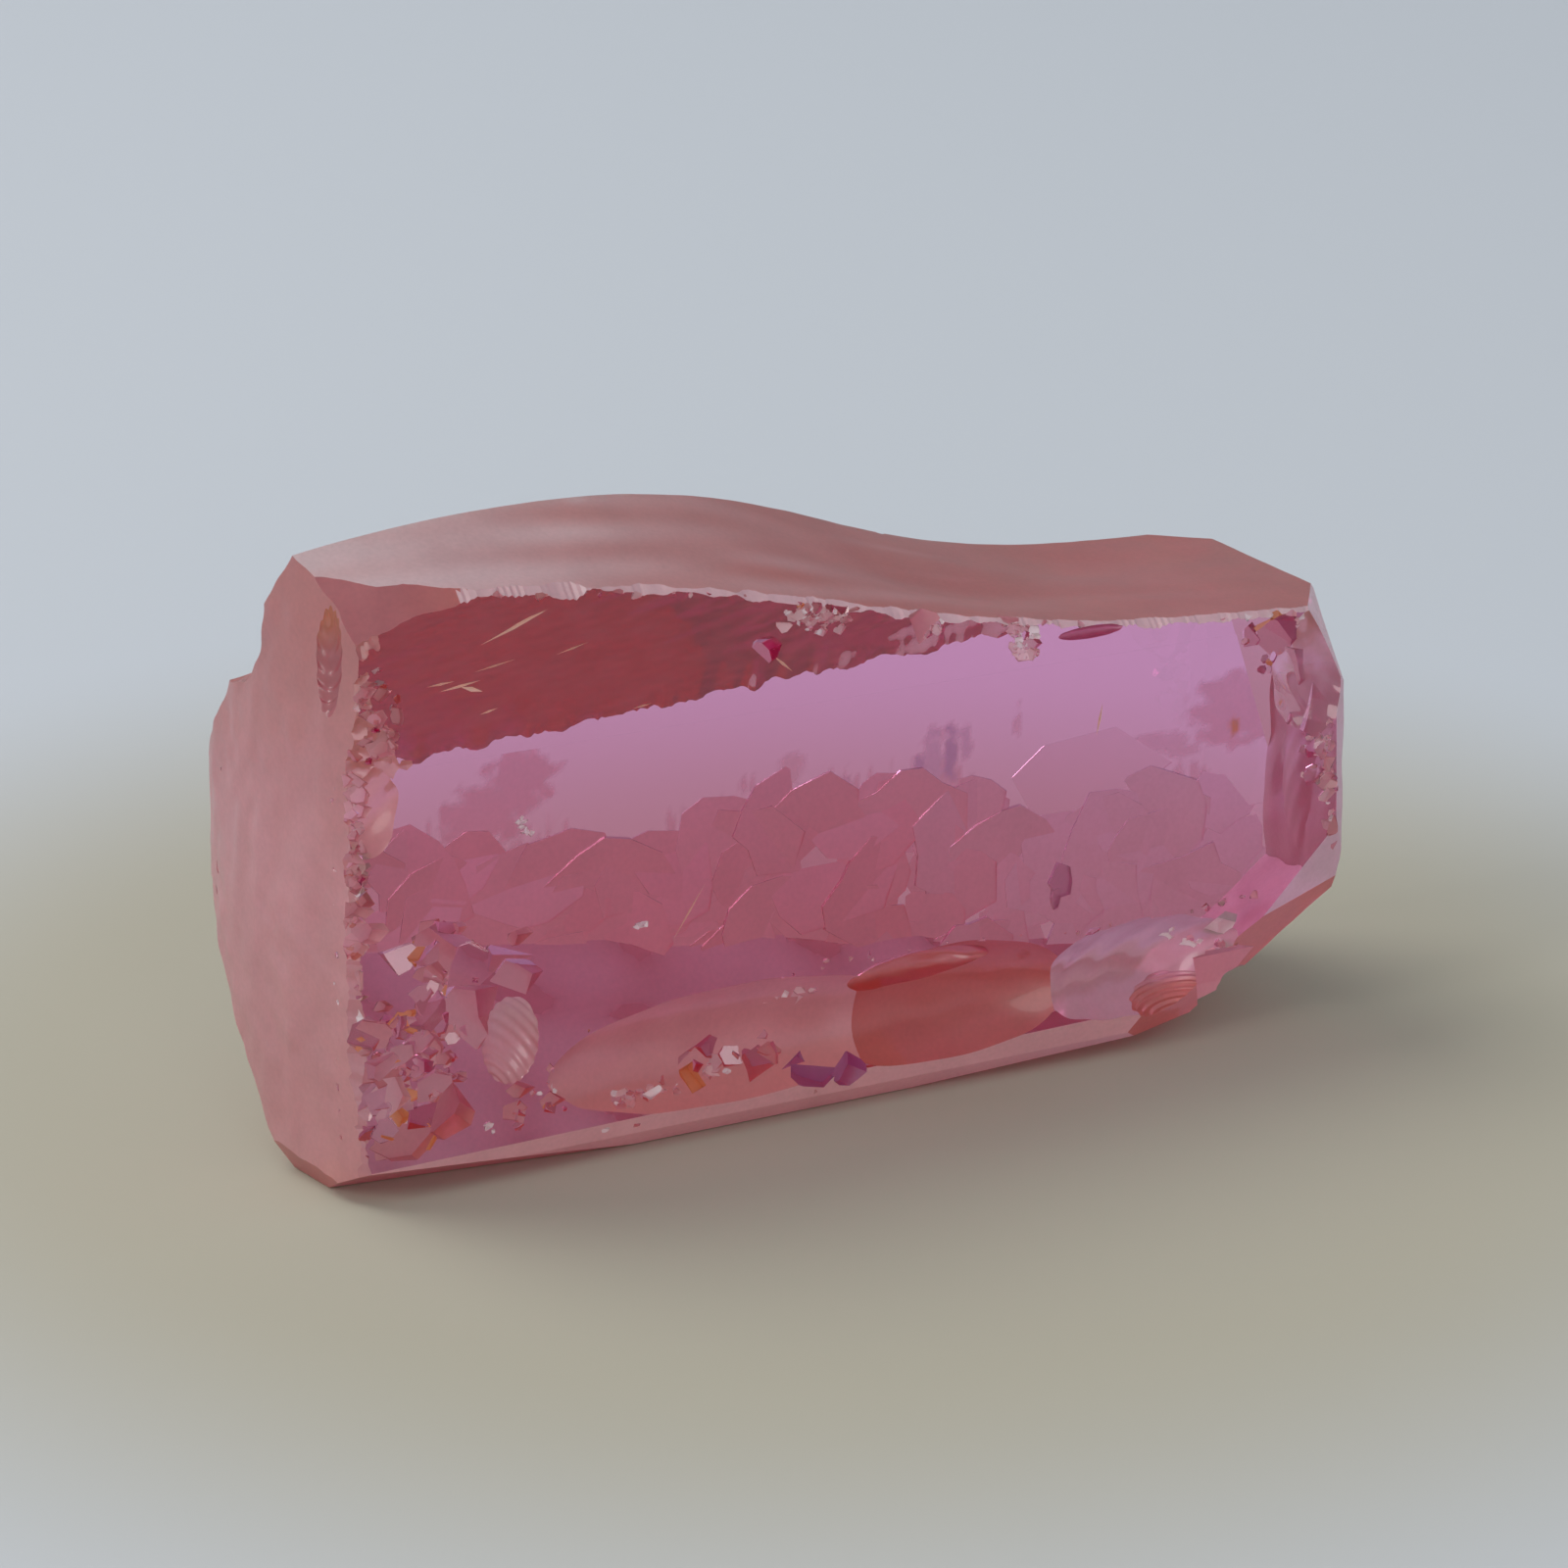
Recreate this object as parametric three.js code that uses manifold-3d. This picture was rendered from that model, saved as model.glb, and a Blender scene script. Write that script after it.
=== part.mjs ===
// A rough sapphire: a flat-fronted fragment of a grown crystal, lying on its long side.
// Units are millimetres, +Z is up, the clear front face looks along -Y, and the origin is at
// the middle of the bottom of the stone's box.
// The stone is one solid. It starts as a block. Cleavage planes and three slow surfaces cut it to
// its faces, rippled scoops bite into its rims, and small chips break the edges.
import * as THREE from "three";
import { mergeVertices } from "three/addons/utils/BufferGeometryUtils.js";
import Module from "manifold-3d";

// Overall size
const LENGTH = 47;
const DEPTH = 12;
const HEIGHT = 26;
const HALF_LENGTH = LENGTH / 2;
const HALF_DEPTH = DEPTH / 2;
const FRONT = -HALF_DEPTH;
const BACK = HALF_DEPTH;

// The top falls from the thick left end to the thin right end, tilts towards the front, and
// rounds off over the left end
const TOP_LOW = 17.95;
const TOP_FALL = 7.5;
const TOP_FALL_AT = -1;
const TOP_FALL_OVER = 7.5;
const TOP_TILT = 0.32;
const TOP_TILT_AT = 2.5;
const TOP_TILT_OVER = 7.5;
const TOP_ROUND = 0.0095;
const TOP_ROUND_AT = -14;

// Shallow dishes in the top: centre x and y, half-widths across x and y, depth
const TOP_DISHES = [
  { x: -15, y: -3.6, across: 5.5, along: 2.6, depth: 0.35 },
  { x: 6.5, y: -1.5, across: 6.5, along: 2.2, depth: 0.45 },
  { x: 15, y: 2.5, across: 5, along: 2.5, depth: 0.3 },
];

// The left end is a shallow dome, fullest behind the middle
const END_FULLEST_Y = 1.5;
const END_FULLEST_Z = 10;
const END_SIDE_DROP = 0.9;
const END_HEIGHT_DROP = 0.5;

// Above a line that climbs slowly to the right, the back leans forward. The lean, as a slope of
// y over z, fades from the left end to the right
const LEAN_FROM = 16.7;
const LEAN_FROM_SLOPE = 0.05;
const LEAN = 0.46;
const LEAN_FADE = 0.0145;

// Fineness of the cutting tools
const OVERSIZE = 4;
const GRID_STEP = 1.4;
const SCOOP_TURNS = 26;
const SCOOP_STEPS = 28;

const STONE_COLOUR = 0xc9808f;
const STONE_ROUGHNESS = 0.25;

// The flat cleavage faces, each as a point on it and its outward normal.
const CLEAVAGES = {
  front: { at: [0, FRONT, 0], normal: [0, -1, 0] },
  back: { at: [0, BACK, 10], normal: [0, 1, 0] },
  backLower: { at: [-23, BACK, 9.3], normal: [-0.1, 0.798, -0.595] },
  keel: { at: [0, FRONT, 1.15], normal: [0.005, -0.72, -0.69] },
  tipUnder: { at: [-22, FRONT, 1.4], normal: [-0.06, -0.474, -0.88] },
  underRight: { at: [3, 0, 0], normal: [0.05, 0, -1] },
  topLeftCorner: { at: [-17, FRONT, 24.3], normal: [-0.207, -0.679, 0.704] },
  rightEnd: { at: [23.5, FRONT, 9], normal: [1, 0.03, 0] },
  rightFrontCorner: { at: [20.6, FRONT, 18.2], normal: [0.761, -0.52, 0.39] },
  rightTopRim: { at: [23.3, 0, 18], normal: [0.75, 0.02, 0.66] },
  rightBackCorner: { at: [23.4, 4, 18], normal: [0.82, 0.57, 0.05] },
  leftUnder: { at: [-22.9, 1.5, 0], normal: [-0.89, -0.12, -0.44] },
  rightRim: { at: [22.8, FRONT, 10], normal: [0.62, -0.78, 0.02] },
  rightUnder: { at: [17.6, FRONT, 1.1], normal: [0.593, 0.02, -0.805] },
  rightUnderRim: { at: [20.7, FRONT, 5.3], normal: [0.106, -0.94, -0.324] },
};

// Conchoidal scoops. Each is an ellipsoid that ripples in rings round `blow`, the direction
// from its centre to the point of the blow.
const SCOOPS = {
  lowerLeft: {
    at: [-5.5, -8, 3.9], radii: [10.5, 3.3, 3.2], blow: [-0.9, 0.3, 0.3], ripple: 0.012, rings: 12,
  },
  lowerMiddle: {
    at: [4.2, -8.2, 3.9], radii: [7.5, 3.5, 3.3], blow: [0.9, 0.3, 0.3], ripple: 0.012, rings: 10,
  },
  lowerRight: {
    at: [13.4, -7.9, 3.8], radii: [6.4, 3, 2.8], blow: [0.8, 0.5, -0.3], ripple: 0.015, rings: 13,
  },
  lens: {
    at: [3.7, -6.5, 5.3], radii: [3.3, 1.3, 1.2], blow: [0.2, 0.9, -0.3], ripple: 0.015, rings: 10,
  },
  endNotch: {
    at: [-23.7, 2.7, 22.7], radii: [4.2, 2.9, 3.3], blow: [0.3, -0.5, -0.8], ripple: 0.02, rings: 13,
  },
  ribbedShell: {
    at: [-15.3, -6.5, 5.6], radii: [1.7, 1.2, 2.3], blow: [-0.5, 0.3, -0.8], ripple: 0.04, rings: 16,
  },
  rightCorner: {
    at: [21.6, -7.6, 15.6], radii: [3, 2.3, 3.6], blow: [0.6, 0.3, 0.7], ripple: 0.02, rings: 12,
  },
  leftEdge: {
    at: [-21.4, -7.3, 16.5], radii: [2.2, 1.8, 3.4], blow: [-0.4, 0.3, 0.8], ripple: 0.02, rings: 12,
  },
  lipEnd: {
    at: [19.2, -5.4, 1.5], radii: [1.3, 1.6, 1.1], blow: [-0.7, 0.3, 0.6], ripple: 0.03, rings: 12,
  },
};

// Angular breaks: each takes what lies in front of one plane, inside a ball. The plane is
// `depth` behind the ball's centre.
const BREAKS = [
  { at: [-18.8, FRONT, 9.6], reach: 2.6, normal: [0.55, -0.72, 0.42], depth: 0.3 },
  { at: [-17.3, FRONT, 8.6], reach: 2.3, normal: [-0.3, -0.8, 0.52], depth: 0.42 },
  { at: [-19.4, FRONT, 7.6], reach: 2.2, normal: [0.42, -0.8, -0.42], depth: 0.38 },
  { at: [-17.9, FRONT, 6.2], reach: 2, normal: [-0.45, -0.85, 0.25], depth: 0.4 },
  { at: [-20.1, FRONT, 5.8], reach: 1.8, normal: [0.25, -0.9, 0.36], depth: 0.35 },
  { at: [-18.5, FRONT, 3.4], reach: 2.2, normal: [0.4, -0.86, -0.3], depth: 0.35 },
  { at: [-2.6, FRONT, 21.4], reach: 1.7, normal: [0.2, -0.8, 0.55], depth: 0.35 },
  { at: [7.8, FRONT, 19.2], reach: 1.9, normal: [0.25, -0.82, 0.5], depth: 0.5 },
  { at: [18.4, FRONT, 17.3], reach: 2.1, normal: [0.35, -0.86, 0.36], depth: 0.3 },
  { at: [20.2, FRONT, 16.6], reach: 2.2, normal: [0.62, -0.76, 0.2], depth: 0.45 },
];

// Rims that chips break: two ends, how many chips, and the smallest and largest radius.
const CHIPPED_RIMS = [
  { from: [-16, FRONT, 24.4], to: [-4, FRONT, 22.5], count: 3, radii: [0.4, 0.6] },
  { from: [-2.5, FRONT, 22], to: [0.2, FRONT, 21.5], count: 2, radii: [0.8, 1] },
  { from: [3, FRONT, 20.8], to: [4, FRONT, 20.6], count: 1, radii: [0.8, 0.9] },
  { from: [6.8, FRONT, 20], to: [8.6, FRONT, 19.7], count: 2, radii: [1, 1.3] },
  { from: [11, FRONT, 19.2], to: [20, FRONT, 18.4], count: 5, radii: [0.4, 0.8] },
  { from: [-22.2, FRONT, 2], to: [-22.2, FRONT, 21], count: 9, radii: [0.6, 1.3] },
  { from: [22.9, FRONT, 7], to: [21.3, FRONT, 17.4], count: 6, radii: [0.6, 1.2] },
  { from: [-18, -0.6, 25.8], to: [-6, 0.9, 24.8], count: 4, radii: [0.4, 0.8] },
  { from: [-6, 0.9, 24.8], to: [7, 4.9, 20.6], count: 5, radii: [0.4, 0.9] },
  { from: [-22.9, 5.2, 9], to: [-23, 3.6, 18], count: 3, radii: [0.6, 1] },
  { from: [17.6, -5.6, 1.4], to: [23, -5.4, 4.6], count: 4, radii: [0.5, 0.8] },
  { from: [-12, FRONT, 1.4], to: [14, FRONT, 1.4], count: 5, radii: [0.3, 0.5] },
];
const CHIP_SEED = 7;
const CHIP_SCATTER = 0.25;

const wasm = await Module();
wasm.setup();

// A closed three.js geometry as a manifold-3d solid.
function solid(geometry) {
  const bare = geometry.index ? geometry.toNonIndexed() : geometry.clone();
  bare.deleteAttribute("normal");
  bare.deleteAttribute("uv");
  const merged = mergeVertices(bare, 1e-5);
  const mesh = new wasm.Mesh({
    numProp: 3,
    vertProperties: merged.attributes.position.array,
    triVerts: new Uint32Array(merged.index.array),
  });
  return new wasm.Manifold(mesh);
}

// A manifold-3d solid as a three.js geometry with flat-shaded faces.
function geometryOf(made) {
  const mesh = made.getMesh();
  const geometry = new THREE.BufferGeometry();
  const position = new THREE.BufferAttribute(new Float32Array(mesh.vertProperties), 3);
  geometry.setAttribute("position", position);
  geometry.setIndex(new THREE.BufferAttribute(new Uint32Array(mesh.triVerts), 1));
  const faceted = geometry.toNonIndexed();
  faceted.computeVertexNormals();
  return faceted;
}

// Repeatable random numbers from 0 to 1.
function randomFrom(seed) {
  let state = seed;
  return () => {
    state = (state * 1664525 + 1013904223) % 4294967296;
    return state / 4294967296;
  };
}

// A matrix that puts +Z along `direction` and the origin at `at`.
function aimed(at, direction) {
  const turn = new THREE.Quaternion().setFromUnitVectors(
    new THREE.Vector3(0, 0, 1),
    new THREE.Vector3(...direction).normalize(),
  );
  return new THREE.Matrix4().compose(new THREE.Vector3(...at), turn, new THREE.Vector3(1, 1, 1));
}

// Everything beyond the plane through `at` with the outward normal `normal`.
function beyondPlane({ at, normal }) {
  const reach = LENGTH * 2;
  const slab = new THREE.BoxGeometry(reach, reach, reach);
  slab.translate(0, 0, reach / 2);
  slab.applyMatrix4(aimed(at, normal));
  return solid(slab);
}

// Everything beyond a slow surface that `height(a, b)` gives over a rectangle. `place` turns
// the tool from its own frame, where beyond is +Z.
function beyondSurface({ across, along, height, place }) {
  const columns = Math.round(across / GRID_STEP);
  const rows = Math.round(along / GRID_STEP);
  const tool = new THREE.BoxGeometry(across, along, HEIGHT, columns, rows, 1);
  const position = tool.attributes.position;
  for (let i = 0; i < position.count; i++) {
    const under = position.getZ(i) < 0;
    position.setZ(i, under ? height(position.getX(i), position.getY(i)) : 2 * HEIGHT);
  }
  tool.applyMatrix4(place);
  return solid(tool);
}

// The ellipsoid that leaves a conchoidal scoop.
function scoopTool({ at, radii, blow, ripple, rings }) {
  const profile = [];
  for (let i = 0; i <= SCOOP_STEPS; i++) {
    const angle = (Math.PI * i) / SCOOP_STEPS;
    const wave = 1 + ripple * Math.sin(rings * angle);
    profile.push(new THREE.Vector2(wave * Math.sin(angle), -wave * Math.cos(angle)));
  }
  profile[0].x = 0;
  profile[SCOOP_STEPS].x = 0;
  const tool = new THREE.LatheGeometry(profile, SCOOP_TURNS);
  tool.rotateX(Math.PI / 2);
  tool.applyMatrix4(aimed([0, 0, 0], blow));
  tool.scale(...radii);
  tool.translate(...at);
  return solid(tool);
}

// The wedge that an angular break takes: the part of a ball that lies beyond a plane.
function breakTool({ at, reach, normal, depth }) {
  const ball = new THREE.IcosahedronGeometry(reach, 2).translate(...at);
  const sunk = new THREE.Vector3(...normal).setLength(-depth).add(new THREE.Vector3(...at));
  return solid(ball).intersect(beyondPlane({ at: sunk.toArray(), normal }));
}

// The chips along one rim, spread from end to end, each a small angular lump turned at random.
function rimChips({ from, to, count, radii }, random) {
  const start = new THREE.Vector3(...from);
  const end = new THREE.Vector3(...to);
  const chips = [];
  for (let i = 0; i < count; i++) {
    const along = (i + random()) / count;
    const radius = radii[0] + (radii[1] - radii[0]) * random() ** 2;
    const at = start.clone().lerp(end, along);
    at.x += (random() - 0.5) * CHIP_SCATTER;
    at.y += (random() - 0.5) * CHIP_SCATTER;
    at.z += (random() - 0.5) * CHIP_SCATTER;
    const chip = new THREE.IcosahedronGeometry(radius, 1);
    chip.scale(1.2 + 0.8 * random(), 0.5 + 0.3 * random(), 0.8 + 0.3 * random());
    chip.rotateX(Math.PI * random());
    chip.rotateY(0.8 * (random() - 0.5));
    chip.rotateZ(0.8 * (random() - 0.5));
    chip.translate(at.x, at.y, at.z);
    chips.push(solid(chip));
  }
  return chips;
}

// Height of the top face over the point (x, y).
function topHeight(x, y) {
  const fall = TOP_FALL / (1 + Math.exp((x - TOP_FALL_AT) / TOP_FALL_OVER));
  const tilt = (TOP_TILT / 2) * (1 - Math.tanh((x - TOP_TILT_AT) / TOP_TILT_OVER));
  const round = TOP_ROUND * Math.max(0, TOP_ROUND_AT - x) ** 2;
  let height = TOP_LOW + fall + tilt * (y - FRONT) - round;
  for (const dish of TOP_DISHES) {
    const away = ((x - dish.x) / dish.across) ** 2 + ((y - dish.y) / dish.along) ** 2;
    height -= dish.depth * Math.exp(-away);
  }
  return height;
}

// The dome of the left end, as a distance from the middle of the stone.
function endReach(y, z) {
  const side = (y - END_FULLEST_Y) / HALF_DEPTH;
  const level = (z - END_FULLEST_Z) / (HEIGHT / 2);
  return HALF_LENGTH - END_SIDE_DROP * side ** 2 - END_HEIGHT_DROP * level ** 2;
}

// The leaning upper part of the back, as y over the point (x, z).
function backReach(x, z) {
  return BACK - (LEAN - LEAN_FADE * x) * (z - LEAN_FROM - LEAN_FROM_SLOPE * x);
}

// The tools for the three faces that aren't flat.
function slowSurfaces() {
  const top = beyondSurface({
    across: LENGTH + OVERSIZE,
    along: DEPTH + OVERSIZE,
    height: topHeight,
    place: new THREE.Matrix4(),
  });
  const sideways = new THREE.Matrix4().makeBasis(
    new THREE.Vector3(0, 1, 0),
    new THREE.Vector3(0, 0, -1),
    new THREE.Vector3(-1, 0, 0),
  );
  const end = beyondSurface({
    across: DEPTH + OVERSIZE,
    along: HEIGHT + OVERSIZE,
    height: (a, b) => endReach(a, HEIGHT / 2 - b),
    place: sideways.setPosition(0, 0, HEIGHT / 2),
  });
  const backwards = new THREE.Matrix4().makeBasis(
    new THREE.Vector3(-1, 0, 0),
    new THREE.Vector3(0, 0, 1),
    new THREE.Vector3(0, 1, 0),
  );
  const back = beyondSurface({
    across: LENGTH + OVERSIZE,
    along: HEIGHT + OVERSIZE,
    height: (a, b) => backReach(-a, b + HEIGHT / 2),
    place: backwards.setPosition(0, 0, HEIGHT / 2),
  });
  return [top, end, back];
}

function buildStone() {
  const random = randomFrom(CHIP_SEED);
  const block = new THREE.BoxGeometry(LENGTH, DEPTH, HEIGHT).translate(0, 0, HEIGHT / 2);
  const tools = [
    ...slowSurfaces(),
    ...Object.values(CLEAVAGES).map(beyondPlane),
    ...Object.values(SCOOPS).map(scoopTool),
    ...BREAKS.map(breakTool),
    ...CHIPPED_RIMS.flatMap((rim) => rimChips(rim, random)),
  ];
  return tools.reduce((stone, tool) => stone.subtract(tool), solid(block));
}

const stone = new THREE.Mesh(
  geometryOf(buildStone()),
  new THREE.MeshStandardMaterial({ color: STONE_COLOUR, roughness: STONE_ROUGHNESS, metalness: 0 }),
);
stone.name = "sapphire_crystal";

const part = new THREE.Group();
part.add(stone);
export default part;
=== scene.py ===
"""Rough sapphire: a clear pink crystal fragment with frosted skin, conchoidal scoops and chipped rims.

The stone is cleaved from a block by surfaces worked out with numpy. All shapes are in
millimetres in the part's frame until the last step, which turns the mesh into metres.
"""

import math

import bpy
import numpy as np
from bpy.props import FloatProperty, FloatVectorProperty, PointerProperty
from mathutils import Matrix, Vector


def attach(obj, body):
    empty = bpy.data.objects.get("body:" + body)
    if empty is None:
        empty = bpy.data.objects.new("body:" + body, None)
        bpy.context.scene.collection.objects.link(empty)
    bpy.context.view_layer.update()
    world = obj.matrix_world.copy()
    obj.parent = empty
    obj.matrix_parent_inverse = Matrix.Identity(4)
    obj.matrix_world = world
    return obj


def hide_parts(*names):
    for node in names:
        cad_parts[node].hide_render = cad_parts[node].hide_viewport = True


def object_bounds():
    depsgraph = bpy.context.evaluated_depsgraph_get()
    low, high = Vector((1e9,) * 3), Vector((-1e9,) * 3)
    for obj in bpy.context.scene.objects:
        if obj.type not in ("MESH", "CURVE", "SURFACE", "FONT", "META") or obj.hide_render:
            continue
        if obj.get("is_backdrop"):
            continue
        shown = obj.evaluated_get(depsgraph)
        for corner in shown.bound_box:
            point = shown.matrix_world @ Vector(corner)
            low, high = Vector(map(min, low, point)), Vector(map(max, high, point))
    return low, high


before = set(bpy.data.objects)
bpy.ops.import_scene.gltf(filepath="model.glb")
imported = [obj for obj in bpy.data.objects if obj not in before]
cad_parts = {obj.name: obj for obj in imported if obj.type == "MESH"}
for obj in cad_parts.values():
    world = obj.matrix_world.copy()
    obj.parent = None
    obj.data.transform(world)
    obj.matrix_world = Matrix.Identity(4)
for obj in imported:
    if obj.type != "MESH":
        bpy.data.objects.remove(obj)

bl_info = {
    "name": "Rough Sapphire",
    "version": (1, 0, 0),
    "blender": (4, 5, 0),
    "location": "3D Viewport > Sidebar > Sapphire",
    "description": "Cleaves a rough sapphire, gives it its finish and sets its stage",
    "category": "Add Mesh",
}

CAD_LOW, CAD_HIGH = (tuple(corner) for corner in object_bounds())
NODE = "sapphire_crystal"
MM = 0.001

# The block, in millimetres, from the frame
LENGTH, DEPTH, HEIGHT = (round((high - low) / MM) for low, high in zip(CAD_LOW, CAD_HIGH))
FRONT, BACK = -DEPTH / 2, DEPTH / 2

# How far the uncut block stands out beyond the stone, how far the slabs that cut it reach outwards
# and how far a flat one reaches sideways
BLOCK_MARGIN = 1
SLAB_DEPTH = 2.5 * LENGTH
SLAB_REACH = 1.6 * LENGTH

# The top: it falls from left to right, tilts towards the front and rounds off at the left
TOP_LOW, TOP_FALL, TOP_FALL_AT, TOP_FALL_OVER = 17.95, 7.5, -1.0, 7.5
TOP_TILT, TOP_TILT_AT, TOP_TILT_OVER = 0.32, 2.5, 7.5
TOP_ROUND, TOP_ROUND_AT = 0.0095, -14.0
TOP_DISHES = (  # centre x and y, half-widths across x and y, depth
    (-15.0, -3.6, 5.5, 2.6, 0.35),
    (6.5, -1.5, 6.5, 2.2, 0.45),
    (15.0, 2.5, 5.0, 2.5, 0.30),
)

# The left end: a shallow dome
END_FULLEST_Y, END_FULLEST_Z = 1.5, 10.0
END_SIDE_DROP, END_HEIGHT_DROP = 0.9, 0.5

# Above a line that climbs slowly to the right, the back leans forward; the line wavers by waves,
# each given by its height, length and seed
LEAN_FROM, LEAN_FROM_SLOPE = 16.7, 0.05
LEAN, LEAN_FADE = 0.46, 0.0145
LEAN_WAVES = ((0.2, 1.6, 11), (0.06, 0.5, 12))

# What a surface is like: how frosted (0 clear, 1 milky, 2 powdery), then two of the finish's
# colours and how far it is from the first to the second
GLASSY = (0.0, "skin", "brick", 0.0)
CLOUDED = (0.2, "skin", "chalk", 0.4)
PALE_RIM = (0.3, "chalk", "rose", 0.4)
SATIN = (0.85, "skin", "russet", 0.85)
FROSTED = (0.95, "skin", "chalk", 0.25)
BRICK = (0.8, "brick", "russet", 0.5)
BROKEN = (0.75, "skin", "russet", 0.4)
PINK = (0.7, "rose", "chalk", 0.35)
# The top's left: frosted skin whose chalky powder is a painted sheen, the bright backdrop's reflection at
# grazing light
TOP_LEFT_SHEEN = (1.1, "chalk", "russet", 0.22)
TOP_RIGHT_SKIN = (0.9, "skin", "russet", 1.0)
# The leaning back's red tint is painted shade: it stands in for the shaded floor under the stone that the
# leaning back reflects
RED_BAND_SHADE = (0.25, "brick", "ember", 0.25)
STREAKED = (0.8, "brick", "russet", 0.35)
END_LOW_SKIN = (0.85, "skin", "brick", 0.15)
END_HIGH_SKIN = (0.9, "skin", "russet", 0.76)
# The keel and edge strip: a frosted pink edge, made chalk-pale as painted light for the light that shines
# through it
PINK_EDGE_LIT = (1.2, "rose", "chalk", 0.35)
CHALKY = (1.35, "chalk", "skin", 0.2)
BRUISED = (1.0, "chalk", "rose", 0.5)
# The opaque brick foot is painted shade: it stands in for the shaded floor under the stone, reflected into
# view by the leaning back
FOOT_SHADE_LEFT = (2.0, "brick", "amber", 0.05)
FOOT_SHADE_RIGHT = (1.8, "brick", "ember", 0.35)
# The lower right scoop's skin: half frosted, and chalk-pale as a painted reflection of the bright floor
# and sky
PALE_REFLECTION_SKIN = (0.5, "chalk", "rose", 0.3)
STROKE = (0.7, "rose", "skin", 0.3)
END_ROSE = (0.85, "rose", "chalk", 0.35)
# The right end's upper skin: frosted, with a chalky violet that is a painted reflection of the bright
# backdrop
END_LAVENDER_REFLECTION = (0.8, "chalk", "violet", 0.16)
ROSE = (0.9, "rose", "brick", 0.2)
PALE_ROSE = (0.95, "rose", "skin", 0.3)
UNDER_LOW = (1.4, "brick", "rose", 0.5)
UNDER_RIGHT = (1.45, "chalk", "rose", 0.25)
# The right rim's skin: frosted, with a chalky violet that is a painted reflection of the bright backdrop
LAVENDER_REFLECTION = (0.9, "chalk", "violet", 0.12)
DARK = (1.2, "ember", "violet", 0.35)
CORNER_SKIN = (0.95, "russet", "violet", 0.12)
RIM_SKIN = (1.1, "skin", "chalk", 0.45)
BRUISE_SKIN = (0.8, "rose", "russet", 0.4)
VIOLET = (0.7, "violet", "russet", 0.35)

COLOURS = ("skin", "brick", "rose", "russet", "chalk", "amber", "violet", "ember")

# Flat cleavage faces: a point on each, its outward normal and its skin
CLEAVAGES = {
    "front": ((0, FRONT, 0), (0, -1, 0), GLASSY),
    "back": ((0, BACK, 10), (0, 1, 0), GLASSY),
    "keel": ((0, FRONT, 1.15), (0.005, -0.72, -0.69), PINK_EDGE_LIT),
    "edge_strip": ((0, FRONT, 1.75), (0.005, -0.95, -0.31), PINK_EDGE_LIT),
    "tip_under": ((-22, FRONT, 1.4), (-0.06, -0.474, -0.88), SATIN),
    "under_right": ((3, 0, 0), (0.05, 0, -1), BRICK),
    "right_front_corner": ((21.0, FRONT, 18.5), (0.761, -0.52, 0.39), CLOUDED),
    "right_top_rim": ((23.3, 0, 18), (0.75, 0.02, 0.66), FROSTED),
    "right_back_corner": ((23.4, 4.4, 17.5), (0.5, 0.85, 0.16), GLASSY),
    "left_under": ((-22.9, 1.5, 0), (-0.89, -0.12, -0.44), SATIN),
    "right_rim": ((22.8, FRONT, 10), (0.62, -0.78, 0.02), LAVENDER_REFLECTION),
    "right_low_bevel": ((20.1, FRONT, 5.8), (0.21, -0.95, -0.21), LAVENDER_REFLECTION),
    "right_under_rim": ((20.7, FRONT, 5.8), (0.25, -0.85, -0.45), BRICK),
}

# Faces whose skin changes along them, most with a low relief: a point, the outward normal, reach
# and steps of the grid, how deep the relief lies, its waves (height, length, seed), and the skins
# at two places along an axis
SWELLING = {
    # The underside's opaque brick foot is painted shade, standing in for the shaded floor under the stone
    "underside": (
        (0, 0, 0), (0, 0, -1), (26, 8), (104, 32), 0.0,
        (), (0, -12, FOOT_SHADE_LEFT, 6, FOOT_SHADE_RIGHT),
    ),
    "back_lower": (
        (-23, BACK, 9.3), (-0.1, 0.798, -0.595), (40, 24), (130, 70), 0.0,
        ((0.10, 5.0, 9),), (0, -18, PALE_ROSE, -8, ROSE),
    ),
    "top_left_corner": (
        (-17, FRONT, 24.3), (-0.207, -0.679, 0.704), (12, 8), (60, 40), 0.0,
        ((0.10, 2.4, 17), (0.03, 0.7, 18)), (0, -20, CORNER_SKIN, -13, BRICK),
    ),
    "left_front_edge": (
        (-21.75, FRONT, 12), (-0.62, -0.78, 0), (3, 14), (12, 160), 0.0,
        ((0.12, 2.0, 15), (0.05, 0.6, 16)), (2, 4, PINK, 16, SATIN),
    ),
    "right_end": (
        (23.32, 0, 9), (1, 0.03, 0), (8, 18), (40, 90), 0.1,
        ((0.09, 3.4, 19), (0.015, 0.9, 20)), (2, 7, END_ROSE, 13, END_LAVENDER_REFLECTION),
    ),
    "right_under": (
        (17.4, 0, 1.1), (0.593, 0.02, -0.805), (8, 14), (36, 60), 0.0,
        ((0.08, 3.0, 26), (0.02, 0.8, 27)), (2, 0, UNDER_LOW, 4, UNDER_RIGHT),
    ),
}

# Faces whose relief has a function of its own: a point, the outward normal, reach and steps of
# the grid
SHAPED = {
    "back_upper": ((0, BACK, HEIGHT / 2), (0, 1, 0), (25, 15), (320, 140)),
    "top": ((0, 0, HEIGHT), (0, 0, 1), (26, 8), (190, 60)),
    "top_rim": ((0, FRONT, 0), (0, -1, 1), (26, 30), (360, 2)),
    "end": ((-LENGTH / 2, 0, HEIGHT / 2), (-1, 0, 0), (9, 16), (70, 100)),
    "bruise": ((-20.5, FRONT, 19.5), (0, -1, 0), (4, 7), (56, 96)),
}

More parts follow.
